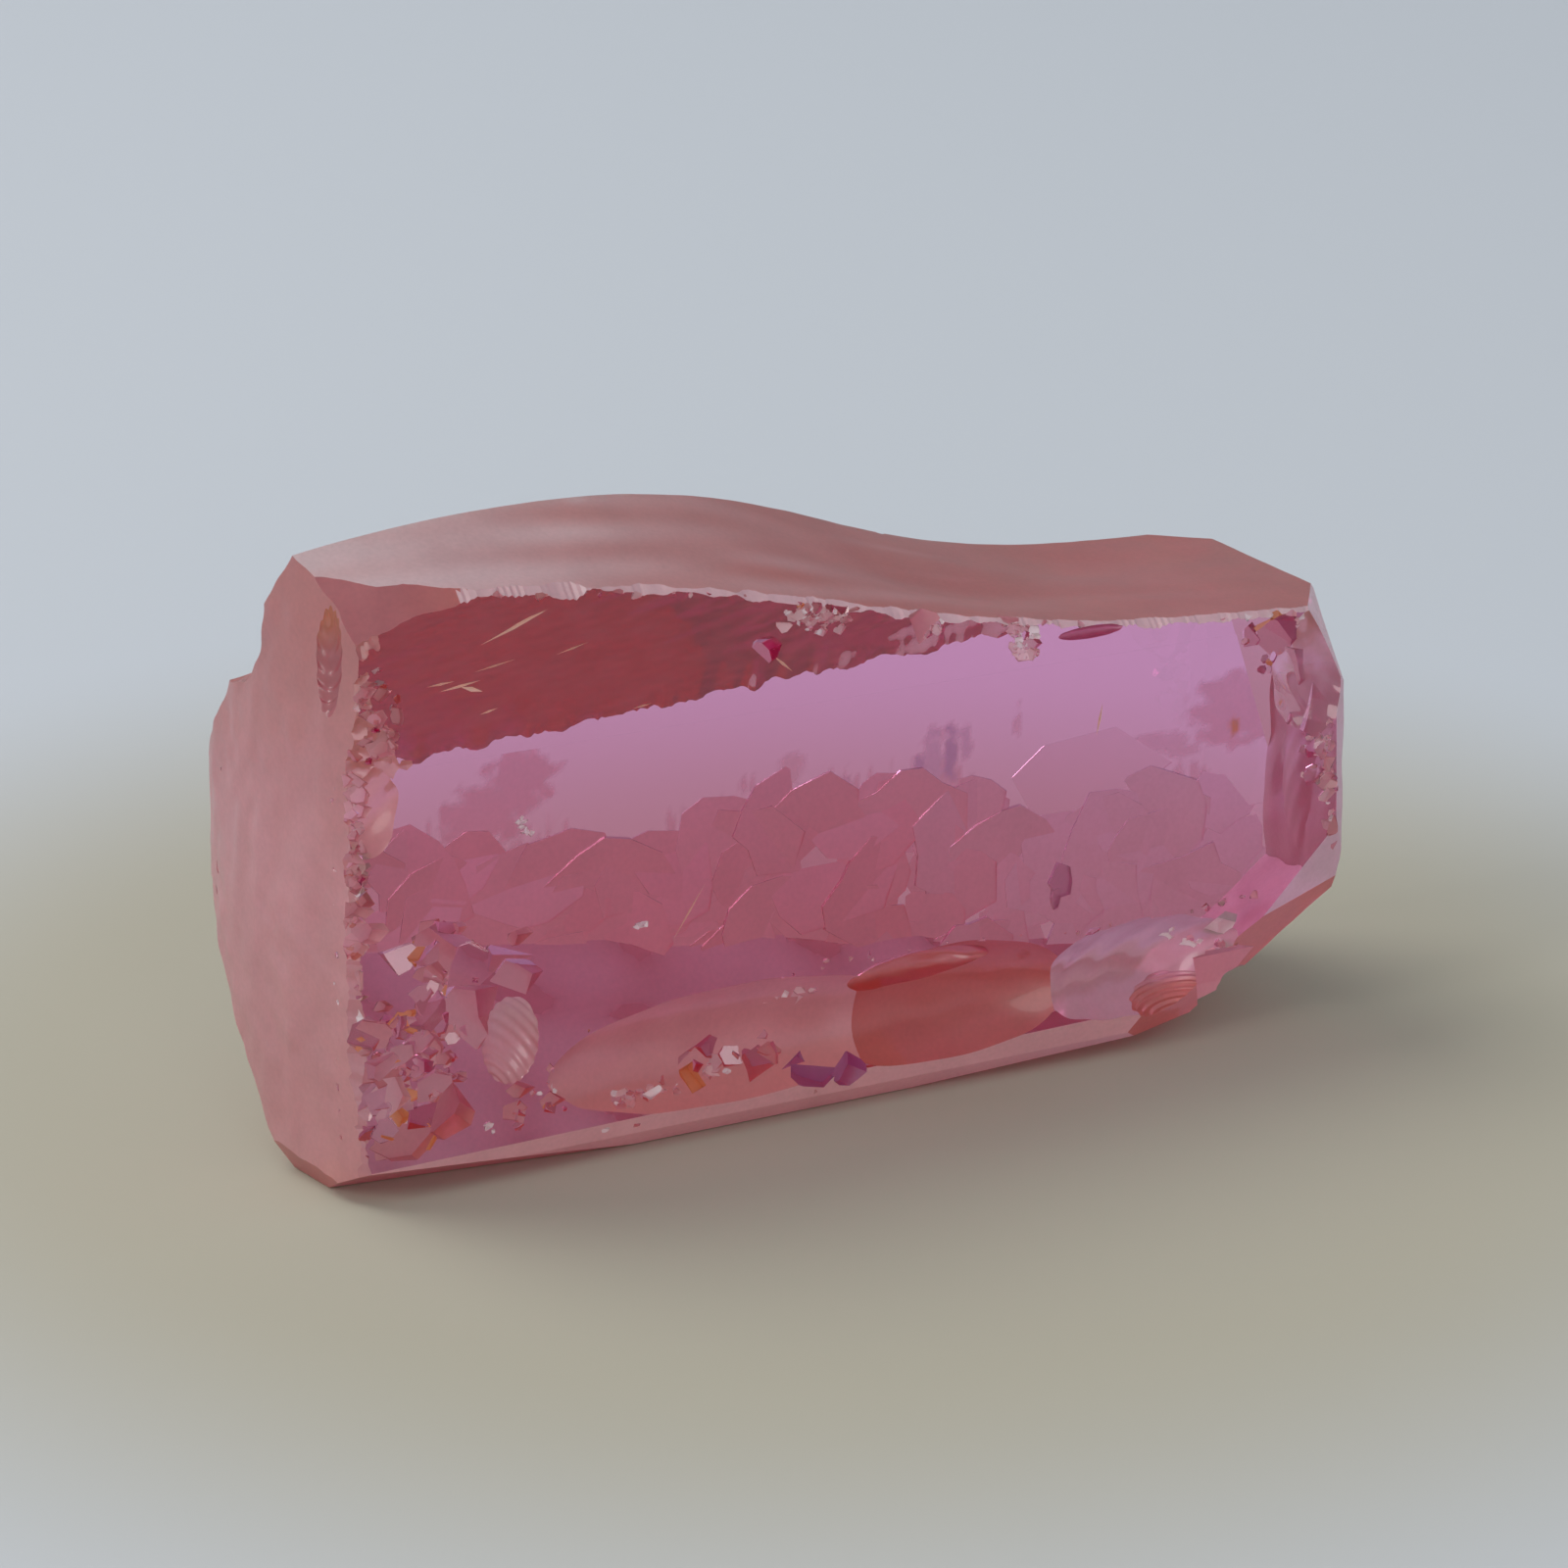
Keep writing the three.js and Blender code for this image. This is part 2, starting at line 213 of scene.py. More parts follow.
# The skins of three of them at two places along an axis; the top's chalky left one is partly frosted skin,
# partly painted sheen
TOP_SKINS = (0, -21, TOP_LEFT_SHEEN, 4, TOP_RIGHT_SKIN)
END_SKINS = (2, 12, END_LOW_SKIN, 24, END_HIGH_SKIN)
BRUISE_SKINS = (0, -22, SATIN, -19.6, BRUISE_SKIN)

# Where a face goes from one skin to the other, the edge wavers: height, length and seed of it
SKIN_EDGE = (0.13, 4, 21)

# The bruised zone on the front's left: it ends at a line given by its points in z and x, and
# deepens to the left of it by this slope, with waves (height, length, seed)
BRUISE_LINE_Z = (14.0, 16.6, 17.2, 18.0, 19.1, 20.2, 21.5, 22.6, 24.5)
BRUISE_LINE_X = (-22.7, -22.5, -21.0, -19.8, -20.3, -21.1, -21.5, -21.2, -19.8)
BRUISE_SLOPE = 0.13
BRUISE_WAVES = ((0.10, 1.4, 24), (0.05, 0.5, 25))

# The top's front rim: how far down it is rounded off, and its ragged edge's waves
RIM_WIDTH = 0.22
RIM_WAVES = ((0.10, 1.3, 22), (0.05, 0.35, 23))

# Conchoidal scoops: the rows and columns of their meshes, and where the skin goes from low to high,
# as a middle over the scoop's centre and a half-width, both in its upright radius
SCOOP_ROWS, SCOOP_COLUMNS = 84, 100
SCOOP_SKIN_MIDDLE, SCOOP_SKIN_HALF = 0.2, 0.3

# Each scoop: centre, radii, direction of the blow, its ripple's height and rate, low and high skin
SCOOPS = {
    "lower_left": (
        (-5.5, -8, 3.9), (10.5, 3.3, 3.2), (-0.9, 0.3, 0.3), 0.006, 16,
        (0.85, "rose", "russet", 0.2), (0.8, "rose", "skin", 0.4),
    ),
    "lower_middle": (
        (4.2, -8.2, 3.9), (7.5, 3.5, 3.3), (0.9, 0.3, 0.3), 0.006, 14,
        (0.85, "ember", "russet", 0.35), (0.8, "ember", "russet", 0.25),
    ),
    "lower_right": (
        (13.4, -7.9, 3.8), (6.4, 3, 2.8), (0.8, 0.5, -0.3), 0.012, 22, PALE_REFLECTION_SKIN, PALE_REFLECTION_SKIN,
    ),
    "lens": (
        (3.2, -5.9, 5.4), (3.5, 1.6, 0.95), (0.2, 0.9, -0.3), 0.008, 14,
        (0.6, "ember", "brick", 0.4), (0.6, "ember", "brick", 0.5),
    ),
    "end_notch": ((-23.7, 2.7, 22.7), (4.2, 2.9, 3.3), (0.3, -0.5, -0.8), 0.02, 13, SATIN, SATIN),
    "ribbed_shell": (
        (-15.5, -6.4, 5.9), (1.35, 1.0, 2.0), (-0.5, 0.3, -0.8), 0.016, 24,
        (0.7, "rose", "skin", 0.5), (0.85, "skin", "chalk", 0.4),
    ),
    "right_corner": ((21.6, -7.6, 15.6), (3, 2.3, 3.6), (0.6, 0.3, 0.7), 0.02, 16, CLOUDED, SATIN),
    "left_edge": (
        (-21.4, -7.3, 16.5), (2.2, 1.6, 3.4), (-0.4, 0.3, 0.8), 0.02, 14, BRUISE_SKIN, BRUISE_SKIN,
    ),
    "end_shell": (
        (24.7, 1.6, 9.5), (1.8, 4.2, 5.6), (0.2, 0.6, 0.8), 0.008, 26, END_ROSE, END_LAVENDER_REFLECTION,
    ),
    "lip_end": ((19.2, -5.4, 1.5), (1.3, 1.6, 1.1), (-0.7, 0.3, 0.6), 0.03, 12, BROKEN, BROKEN),
    "lip_scallop": ((14.9, -5.9, 2.4), (1.9, 1.0, 1.1), (0.2, 0.2, -0.9), 0.03, 26, BRICK, PALE_RIM),
    "pale_lens": ((-20.4, -6.7, 4.1), (1.0, 1.0, 1.9), (0.4, 0.2, 0.9), 0.015, 14, PALE_RIM, PINK),
    "dark_nick": ((10.7, -6.15, 18.8), (1.6, 0.45, 0.28), (0.9, 0.2, 0.2), 0.01, 12, DARK, DARK),
    "amber_lens": (
        (-22.5, -4.6, 22.4), (0.8, 0.85, 2.5), (0.5, 0.5, 0.5), 0.03, 22,
        (0.85, "russet", "violet", 0.12), (0.8, "amber", "russet", 0.6),
    ),
}

# Angular breaks: how many corners each has, then a point, reach, plane normal, depth and skin
BREAK_CORNERS = 9
BREAKS = (
    ((-18.6, FRONT, 9.9), 1.3, (0.40, -0.85, 0.42), 0.20, (0.6, "rose", "russet", 0.3)),
    ((-17.0, FRONT, 8.8), 1.2, (-0.30, -0.85, 0.42), 0.22, GLASSY),
    ((-20.9, FRONT, 4.3), 1.0, (0.30, -0.90, 0.10), 0.20, (0.8, "rose", "chalk", 0.4)),
    ((-17.6, FRONT, 7.0), 1.5, (0.35, -0.85, 0.35), 0.22, (0.4, "rose", "chalk", 0.3)),
    ((-19.0, FRONT, 7.8), 1.0, (0.35, -0.85, -0.35), 0.20, CLOUDED),
    ((-18.5, FRONT, 3.6), 1.2, (0.35, -0.88, -0.28), 0.20, (0.6, "rose", "russet", 0.4)),
    ((-4.2, FRONT, 20.2), 0.6, (0.50, -0.70, 0.50), 0.15, GLASSY),
    ((3.2, FRONT, 20.3), 0.8, (-0.40, -0.75, 0.50), 0.25, BROKEN),
    ((19.6, FRONT, 16.8), 1.3, (0.35, -0.86, 0.36), 0.20, GLASSY),
    ((20.6, FRONT, 15.6), 1.4, (0.60, -0.78, 0.20), 0.30, CLOUDED),
    ((21.4, FRONT, 13.9), 1.2, (0.65, -0.74, -0.10), 0.25, CLOUDED),
    ((-2.9, FRONT, 2.9), 1.1, (0.40, -0.80, -0.35), 0.35, VIOLET),
    ((-1.8, FRONT, 2.5), 1.2, (-0.30, -0.90, -0.20), 0.35, VIOLET),
    ((-0.4, -5.7, 1.8), 0.7, (0.50, -0.84, -0.20), 0.20, VIOLET),
    ((16.8, -5.4, 2.0), 1.5, (0.90, -0.40, 0.15), 0.20, BROKEN),
)

# What the flakes of a crushed patch look like, each skin with its share; the amber one of the clear kind
# paints orange glints, and the white kind is pale bruising that also paints glints
FLAKE_SKINS = {
    "clear": (
        ((0.7, "rose", "russet", 0.5), 0.22), ((0.5, "rose", "skin", 0.5), 0.16), (GLASSY, 0.28),
        (CLOUDED, 0.19), ((0.9, "brick", "amber", 0.5), 0.09), ((0.6, "rose", "chalk", 0.4), 0.06),
    ),
    "soft": (
        ((0.9, "skin", "russet", 0.5), 0.42), ((0.9, "skin", "rose", 0.5), 0.3),
        ((0.85, "skin", "russet", 0.7), 0.14), (BRICK, 0.08), (GLASSY, 0.06),
    ),
    "pale": ((GLASSY, 0.25), (CLOUDED, 0.3), (PINK, 0.25), (BRUISED, 0.2)),
    "white": ((CHALKY, 0.25), (BRUISED, 0.35), (CLOUDED, 0.2), (PINK, 0.2)),
}

# Crushed patches: two ends of the middle line, spread, how many flakes, their smallest and
# largest reach, how deep they go and their kind
CRUSHED = (
    ((-20.4, FRONT, 3.0), (-18.2, FRONT, 10.0), 1.1, 130, 0.15, 0.85, 0.24, "clear"),
    ((-15.4, FRONT, 2.6), (-12.8, FRONT, 3.4), 0.5, 16, 0.12, 0.5, 0.15, "clear"),
    ((-21.0, -5.75, 22.0), (-20.6, -5.75, 17.6), 0.5, 26, 0.1, 0.4, 0.1, "soft"),
    ((-22.0, -5.7, 17.0), (-21.7, -5.7, 15.6), 0.15, 14, 0.06, 0.2, 0.08, "white"),
    ((-21.8, -5.6, 17.5), (-22.0, -5.6, 10.5), 0.25, 50, 0.1, 0.45, 0.12, "soft"),
    ((18.6, FRONT, 17.2), (20.6, FRONT, 16.2), 0.5, 22, 0.15, 0.6, 0.2, "clear"),
    ((21.0, FRONT, 15.5), (22.3, FRONT, 10.5), 0.4, 44, 0.12, 0.5, 0.18, "pale"),
    ((-3.0, FRONT, 21.5), (-0.8, FRONT, 21.2), 0.3, 60, 0.06, 0.28, 0.12, "white"),
    ((3.2, FRONT, 20.4), (3.5, FRONT, 19.9), 0.2, 14, 0.08, 0.3, 0.12, "white"),
    ((7.2, FRONT, 19.6), (7.9, FRONT, 18.3), 0.22, 80, 0.06, 0.32, 0.15, "white"),
    ((-10.8, -5.5, 2.2), (-5.5, -5.0, 2.7), 0.2, 30, 0.1, 0.35, 0.12, "white"),
    ((-7.0, -5.0, 2.9), (-3.4, -4.9, 2.9), 0.4, 24, 0.15, 0.5, 0.15, "clear"),
    ((-4.4, -5.0, 4.4), (-1.8, -5.3, 5.2), 0.2, 26, 0.1, 0.35, 0.12, "white"),
    ((14.6, -5.2, 4.6), (18.6, -5.4, 3.6), 0.35, 20, 0.1, 0.35, 0.12, "white"),
    ((-14.8, FRONT, 3.4), (-13.2, FRONT, 3.8), 0.15, 8, 0.08, 0.25, 0.1, "white"),
    ((20.3, FRONT, 18.0), (21.2, FRONT, 17.4), 0.25, 14, 0.08, 0.3, 0.12, "white"),
)

# A flake: how much it tilts, how much of its patch's depth it goes down, how it is stretched, how
# many corners it has and how much wider it grows outwards
FLAKE_TILT = {"clear": 0.36, "soft": 0.16, "pale": 0.3, "white": 0.3}
FLAKE_SINK, FLAKE_STRETCH = (0.2, 1), (0.7, 1.8)
FLAKE_CORNERS, FLAKE_FLARE = (4, 8), 1.5

# Rims that chips break: two ends, how many chips, the smallest and largest radius
CHIPPED_RIMS = (
    ((-16, FRONT, 24.4), (-4, FRONT, 22.5), 20, 0.08, 0.3),
    ((-2.8, FRONT, 22.0), (0.2, FRONT, 21.5), 8, 0.15, 0.5),
    ((2.8, FRONT, 20.8), (4.0, FRONT, 20.6), 5, 0.15, 0.5),
    ((6.6, FRONT, 20.0), (8.8, FRONT, 19.7), 9, 0.15, 0.6),
    ((9.0, FRONT, 19.6), (20, FRONT, 18.4), 34, 0.08, 0.35),
    ((-21.9, FRONT, 2), (-21.8, FRONT, 21), 60, 0.1, 0.5),
    ((-22.4, FRONT + 1, 2), (-22.6, FRONT + 1, 20), 24, 0.08, 0.3),
    ((22.9, FRONT, 7), (21.3, FRONT, 17.4), 40, 0.1, 0.5),
    ((19.8, FRONT, 18.3), (21.4, FRONT, 16.8), 20, 0.12, 0.5),
    ((20.5, -5.5, 19), (22.6, 0, 18.9), 12, 0.1, 0.4),
    ((-18, -1.0, 25.8), (-6, 1.2, 24.8), 16, 0.1, 0.4),
    ((-6, 1.2, 24.8), (7, 4.7, 20.6), 16, 0.1, 0.4),
    ((-22.9, 5.2, 9), (-23, 3.6, 16), 8, 0.2, 0.5),
    ((17.6, -5.6, 1.4), (23, -5.4, 4.6), 18, 0.1, 0.45),
    ((-12, FRONT, 1.2), (16, FRONT, 1.1), 30, 0.08, 0.3),
    ((-12, FRONT, 5.6), (-1, FRONT, 6.4), 12, 0.06, 0.25),
    ((-1.5, FRONT, 6.6), (8, FRONT, 6.2), 18, 0.08, 0.3),
    ((8.5, FRONT, 5.8), (19, FRONT, 6.0), 20, 0.06, 0.25),
)

# Chips: how wide they scatter round their rim, and their least and greatest proportions
CHIP_SCATTER = 0.3
CHIP_LEAST, CHIP_MOST = (0.8, 0.5, 0.8), (1.6, 0.9, 1.4)

# Pale specks on the front: x and z of each, how many nicks it has, their scatter and sizes
SPECKS = (
    (-22.2, 15.8), (-22.0, 14.9), (-14.8, 14.8), (-14.6, 14.5), (-21.6, 7.1), (-16.4, 2.4), (-9.7, 9.7),
)
SPECK_NICKS, SPECK_SCATTER, SPECK_SIZES = 4, 0.12, (0.08, 0.25)

# Shells on the lower back: they end at a line given by its points in x and z
SHELL_LINE_X = (
    -23, -19.1, -16.4, -13.4, -10.8, -8.2, -4.6, -1.1, 3, 5.5, 6, 7.1, 9, 10.4, 15.6, 18.5, 21.2, 22,
)
SHELL_LINE_Z = (
    11, 12, 12.8, 12.3, 11.9, 10.6, 11.3, 12.4, 12.2, 11.8, 10, 12.4, 10.3, 8.8, 9.2, 9.7, 9.3, 3,
)

# A shell: where the rows of them run, how far it is from the next, its radius, depth and corners,
# then how far it is moved along x and z, tilted and stretched
SHELL_FIELD_X, SHELL_FIELD_Z = (-24, 25), (-0.5, 13)
SHELL_PITCH = 2.1
SHELL_RADII, SHELL_DEPTHS, SHELL_CORNERS = (1.3, 2.7), (0.02, 0.08), (9, 15)
SHELL_SWAY, SHELL_RISE, SHELL_TILT, SHELL_STRETCH = 0.8, 0.6, 0.05, 1.2

# The shells' skin: their frost, and from this x on, over so many millimetres, it turns chalky
# and so much clearer
SHELL_FROST = (0.82, 0.95)
CHALKY_FROM, CHALKY_OVER, CHALKY_CLEARER = 4, 10, 0.25

# Flakes off the back, seen through the stone: how many corners each has, then x, z, radius,
# stretch along x, depth and skin
MARK_CORNERS = 6
BACK_MARKS = (
    (14.0, 10.6, 2.0, 1.9, 0.06, (0.25, "rose", "chalk", 0.5)),
    (12.9, 6.0, 0.8, 0.8, 0.45, (0.9, "violet", "rose", 0.5)),
    (12.6, 5.2, 0.5, 0.5, 0.50, (0.9, "violet", "rose", 0.5)),
)

# Stains on the back, with soft edges: x, z, half-widths along x and z, skin
STAINS = (
    (21.4, 12.2, 2.6, 1.9, (0.6, "skin", "rose", 0.4)),
    (21.3, 11.4, 0.30, 0.42, (1.0, "amber", "amber", 0.0)),
    # The next pale bar is no stain but a painted glint
    (17.5, 11.3, 1.7, 0.50, (0.5, "chalk", "rose", 0.3)),
    (18.6, 10.7, 1.2, 0.35, (0.5, "chalk", "amber", 0.2)),
    (6.7, 12.0, 0.60, 1.8, (0.5, "violet", "chalk", 0.6)),
    (6.1, 11.3, 0.32, 1.6, (0.7, "violet", "chalk", 0.3)),
    (7.6, 12.4, 0.40, 1.3, (0.7, "violet", "chalk", 0.3)),
    (8.3, 12.7, 0.35, 0.9, (0.5, "violet", "chalk", 0.6)),
    (2.7, 11.2, 0.20, 1.4, (0.5, "violet", "rose", 0.5)),
    (0.2, 12.9, 0.75, 0.65, (0.45, "amber", "chalk", 0.6)),
    (-12.0, 14.4, 1.8, 1.5, (0.7, "rose", "skin", 0.5)),
    (-13.6, 13.0, 2.2, 1.6, (0.7, "rose", "skin", 0.5)),
    (10.8, 13.2, 0.22, 0.9, (0.5, "chalk", "amber", 0.3)),
)

# Slivers on the front, thin nicks whose pale amber skin is a painted glint: x, z, half-length, half-width,
# slope; and how deep they go
GLINT_SLIVERS = (
    (-15.1, 22.8, 1.5, 0.07, 0.35),
    (-14.4, 23.1, 0.8, 0.05, 0.30),
    (-17.4, 20.8, 0.9, 0.06, 0.12),
    (-16.9, 20.6, 0.5, 0.10, -0.35),
    (-18.2, 21.0, 0.6, 0.05, 0.05),
    (-15.9, 21.4, 0.9, 0.04, 0.15),
    (-12.6, 21.6, 0.7, 0.04, 0.22),
    (-16.2, 19.6, 0.4, 0.05, 0.20),
    (-9.6, 18.8, 0.4, 0.04, 0.10),
    (-3.4, 19.6, 0.6, 0.06, -0.90),
    (-7.6, 9.9, 1.3, 0.04, 1.50),
    (11.2, 15.0, 0.7, 0.06, 5.00),
)
SLIVER_DEPTH = 0.08
# The slivers' pale amber powder: painted glints
GLINT_SLIVER_SKIN = (1.3, "amber", "chalk", 0.5)

# The stained film on the upright back: its grid's step, how high it reaches and how deep it lies
STAIN_STEP, STAIN_TOP, STAIN_DEPTH = 0.2, 15.5, 0.02

# The faces of a block and of an octahedron, and the octahedron's corners
BLOCK_FACES = np.array((
    (3, 2, 1, 0), (4, 5, 6, 7), (0, 1, 5, 4), (1, 2, 6, 5), (2, 3, 7, 6), (3, 0, 4, 7),
))
OCTAHEDRON = np.array((
    (0, 1, 2), (1, 3, 2), (3, 4, 2), (4, 0, 2), (1, 0, 5), (3, 1, 5), (4, 3, 5), (0, 4, 5),
))
OCTAHEDRON_CORNERS = np.concatenate([np.eye(3), -np.eye(3)])

# What the random draws start from
SEED = 7

# A ruffle's waves: how many, and how far their lengths spread round the given one
RUFFLE_WAVES, RUFFLE_SPREAD = 22, (0.6, 1.8)

# Faces from this area on, in square millimetres, are shaded flat, and edges from this angle on
# are sharp
FLAT_AREA = 1.0
SHARP_ANGLE = math.radians(22)

# The stage, in metres: the bowl's radius, the radius of its corner, its height and the radius of
# its innermost ring; how many sides it has, and how many steps over its flat and its corner; how
# far it lies under the stone, and where the floor's colour turns into the backdrop's
BOWL_RADIUS, BOWL_CORNER, BOWL_HEIGHT, BOWL_MIDDLE = 0.9, 0.25, 0.42, 0.002
BOWL_SIDES, BOWL_FLAT_STEPS, BOWL_CORNER_STEPS = 96, 30, 24
FLOOR_DROP = 0.00005
FLOOR_FADE = (0.030, 0.065)

# Soft round lights: place, size and colour; the power is the stage's setting of the same name
LIGHTS = {
    "key": ((-0.25, 0.35, 0.65), 0.5, (1, 0.98, 0.95)),
    "fill": ((-0.55, -0.05, 0.28), 0.25, (1, 0.97, 0.94)),
    "bounce": ((-0.15, -0.45, 0.10), 0.3, (1, 0.96, 0.92)),
}
LIGHT_TARGET = (0, 0, 0.01)
SKY_COLOUR = (0.86, 0.93, 1.0, 1)

# The camera: what it looks at, lens and sensor width in millimetres, nearest distance it sees
CAMERA_TARGET = (-0.00014, 0.00002, 0.01222)
CAMERA_LENS, CAMERA_SENSOR, CAMERA_NEAR = 140.6, 36, 0.01


# ---------------------------------------------------------------- surfaces

def unit(vector):
    """The vector divided by its length."""
    vector = np.asarray(vector, float)
    return vector / np.linalg.norm(vector)


def ruffle(a, b, size, seed):
    """Smooth random relief, mostly between -1 and 1: a scaled sum of cosine waves.

    Wave k has a random heading h and phase p, and a length near `size`. Its height is
    cos(2 pi (a cos h + b sin h) / length + p), and the sum is divided by sqrt(RUFFLE_WAVES).
    """
    random = np.random.RandomState(seed)
    total = np.zeros(np.broadcast(a, b).shape)
    for heading, phase, spread in zip(
        random.uniform(0, 2 * math.pi, RUFFLE_WAVES),
        random.uniform(0, 2 * math.pi, RUFFLE_WAVES),
        random.uniform(*RUFFLE_SPREAD, RUFFLE_WAVES),
    ):
        turn = (a * math.cos(heading) + b * math.sin(heading)) / (size * spread)
        total += np.cos(2 * math.pi * turn + phase)
    return total / math.sqrt(RUFFLE_WAVES)


def ruffles(a, b, waves):
    """The sum of some ruffles, each given by its height, length and seed."""
    total = np.zeros(np.broadcast(a, b).shape)
    for height, size, seed in waves:
        total += height * ruffle(a, b, size, seed)
    return total


def grid_faces(rows, columns):
    """Quads of a rows x columns grid of points, counter-clockwise seen from +w."""
    row, column = np.meshgrid(np.arange(rows - 1), np.arange(columns - 1), indexing="ij")
    corner = (row * columns + column).ravel()
    return np.stack([corner, corner + columns, corner + columns + 1, corner + 1], 1)


def slab(at, normal, reach, steps, relief):
    """A closed slab that lies beyond a surface, as points and quads.

    A grid in (u, v) spans `reach` to each side of `at`, with u level and v up the face.
    Each grid point stands off the face's plane by relief(point) along the normal w, and a
    second grid lies SLAB_DEPTH outside that plane. Four strips of quads close the rim.
    """
    w = unit(normal)
    level = np.array([1.0, 0, 0]) if abs(w[2]) > 0.9 else np.cross([0, 0, 1.0], w)
    u = unit(level - w * (level @ w))
    v = np.cross(w, u)
    spans = [np.linspace(-half, half, number) for half, number in zip(reach, steps)]
    across, up = np.meshgrid(*spans, indexing="ij")
    flat = np.asarray(at, float) + across[..., None] * u + up[..., None] * v
    near = flat + relief(flat)[..., None] * w
    far = flat + SLAB_DEPTH * w
    rows, columns = steps
    count = rows * columns
    faces = grid_faces(rows, columns)
    index = np.arange(count).reshape(rows, columns)
    quads = [faces[:, ::-1], faces + count]
    for line, outward in (
        (index[:, 0], True),
        (index[:, -1], False),
        (index[0], False),
        (index[-1], True),
    ):
        strip = np.stack([line[:-1], line[1:], line[1:] + count, line[:-1] + count], 1)
        quads.append(strip if outward else strip[:, ::-1])
    return np.concatenate([near, far]).reshape(-1, 3), [np.concatenate(quads)]


def lump(at, radii, blow, ripple, rings):
    """A rippled ellipsoid, as points and faces.

    On a unit sphere with its pole along `blow`, the radius at polar angle p is
    1 + ripple sin(rings p). The sphere is then stretched to `radii`. The two poles are single
    points that fans of triangles close.
    """
    rows, columns = SCOOP_ROWS, SCOOP_COLUMNS
    polar = np.linspace(0, math.pi, rows + 1)[1:-1, None]
    turn = np.linspace(0, 2 * math.pi, columns, endpoint=False)[None, :]
    wave = 1 + ripple * np.sin(rings * polar)
    x, y, z = np.sin(polar) * np.cos(turn), np.sin(polar) * np.sin(turn), np.cos(polar)
    body = np.stack(np.broadcast_arrays(x, y, z), -1) * wave[..., None]
    points = np.concatenate([body.reshape(-1, 3), [[0, 0, 1.0]], [[0, 0, -1.0]]])
    w = unit(blow)
    side = unit(np.cross([0, 0, 1.0], w) if abs(w[2]) < 0.9 else np.cross([1.0, 0, 0], w))
    points = points @ np.stack([side, np.cross(w, side), w]) * np.asarray(radii) + at
    ring = np.arange((rows - 1) * columns).reshape(rows - 1, columns)
    after = np.roll(ring, -1, axis=1)
    quads = np.stack([ring[:-1], ring[1:], after[1:], after[:-1]], -1).reshape(-1, 4)
    top, bottom = len(points) - 2, len(points) - 1
    caps = [
        np.stack([np.full(columns, top), ring[0], after[0]], 1),
        np.stack([np.full(columns, bottom), after[-1], ring[-1]], 1),
    ]
    return points, [quads, *caps]


def top_height(x, y):
    """Height of the top over (x, y): a falling step, plus a tilt, less round and dishes.

    The step is TOP_LOW + TOP_FALL / (1 + e^((x - at) / over)). The tilt's slope fades from
    TOP_TILT to nothing along x as half of 1 - tanh. Each dish is a bell-shaped hollow.
    """
    fall = TOP_FALL / (1 + np.exp((x - TOP_FALL_AT) / TOP_FALL_OVER))
    tilt = TOP_TILT / 2 * (1 - np.tanh((x - TOP_TILT_AT) / TOP_TILT_OVER))
    height = TOP_LOW + fall + tilt * (y - FRONT)
    height -= TOP_ROUND * np.maximum(0, TOP_ROUND_AT - x) ** 2
    for dish_x, dish_y, across, along, depth in TOP_DISHES:
        height -= depth * np.exp(-(((x - dish_x) / across) ** 2) - ((y - dish_y) / along) ** 2)
    return height


def end_reach(y, z):
    """Distance of the left end from the stone's middle: a dome, fullest at one point."""
    side = (y - END_FULLEST_Y) / (DEPTH / 2)
    level = (z - END_FULLEST_Z) / (HEIGHT / 2)
    return LENGTH / 2 - END_SIDE_DROP * side**2 - END_HEIGHT_DROP * level**2


# ---------------------------------------------------------------- the stone's mesh

def mixed(palette, skin):
    """A skin as four numbers: the colour between its two, and the frost."""
    frost, first, second, share = skin
    return (*(palette[first] * (1 - share) + palette[second] * share), frost)


def add_object(name, points, faces, skins):
    """A mesh object in millimetres. `skins` is one skin, or one for each point."""
    mesh = bpy.data.meshes.new(name)
    face_list = [face for group in faces for face in group.tolist()]
    mesh.from_pydata(np.asarray(points).tolist(), [], face_list)
    mesh.update()
    corners = np.empty(len(mesh.loops), int)
    mesh.loops.foreach_get("vertex_index", corners)
    values = np.broadcast_to(np.asarray(skins, float), (len(points), 4))[corners]
    tint = mesh.attributes.new("tint", "FLOAT_VECTOR", "CORNER")
    tint.data.foreach_set("vector", values[:, :3].ravel())
    frost = mesh.attributes.new("frost", "FLOAT", "CORNER")
    frost.data.foreach_set("value", values[:, 3].copy())
    made = bpy.data.objects.new(name, mesh)
    bpy.context.scene.collection.objects.link(made)
    return made


def no_relief(points):
    """The slab's surface is its plane."""
    return np.zeros(points.shape[:-1])


def back_relief(points):
    """How far the leaning upper back stands off the plane y = BACK: less than 0 towards the front.

    The lean grows in proportion to the height over a climbing line: -(lean)(z - line). The line
    wavers by its ruffles, and fine streaks run along the face.
    """
    x, z = points[..., 0], points[..., 2]
    line = LEAN_FROM + LEAN_FROM_SLOPE * x
    line += ruffles(x, 0, LEAN_WAVES) * np.exp(-np.abs(z - line) / 0.6)
    streaks = 0.012 * ruffle(0.12 * x, z - 0.25 * x, 1.1, 13)
    return -(LEAN - LEAN_FADE * x) * (z - line) + streaks * np.clip(z - line, 0, 1)


def top_relief(points):
    """The top's height over the block's lid, with a fine ruffle."""
    x, y = points[..., 0], points[..., 1]
    height = top_height(x, y) - HEIGHT
    return height + 0.02 * ruffle(0.3 * x, y, 2.2, 3) + 0.004 * ruffle(0.4 * x, y, 0.6, 4)


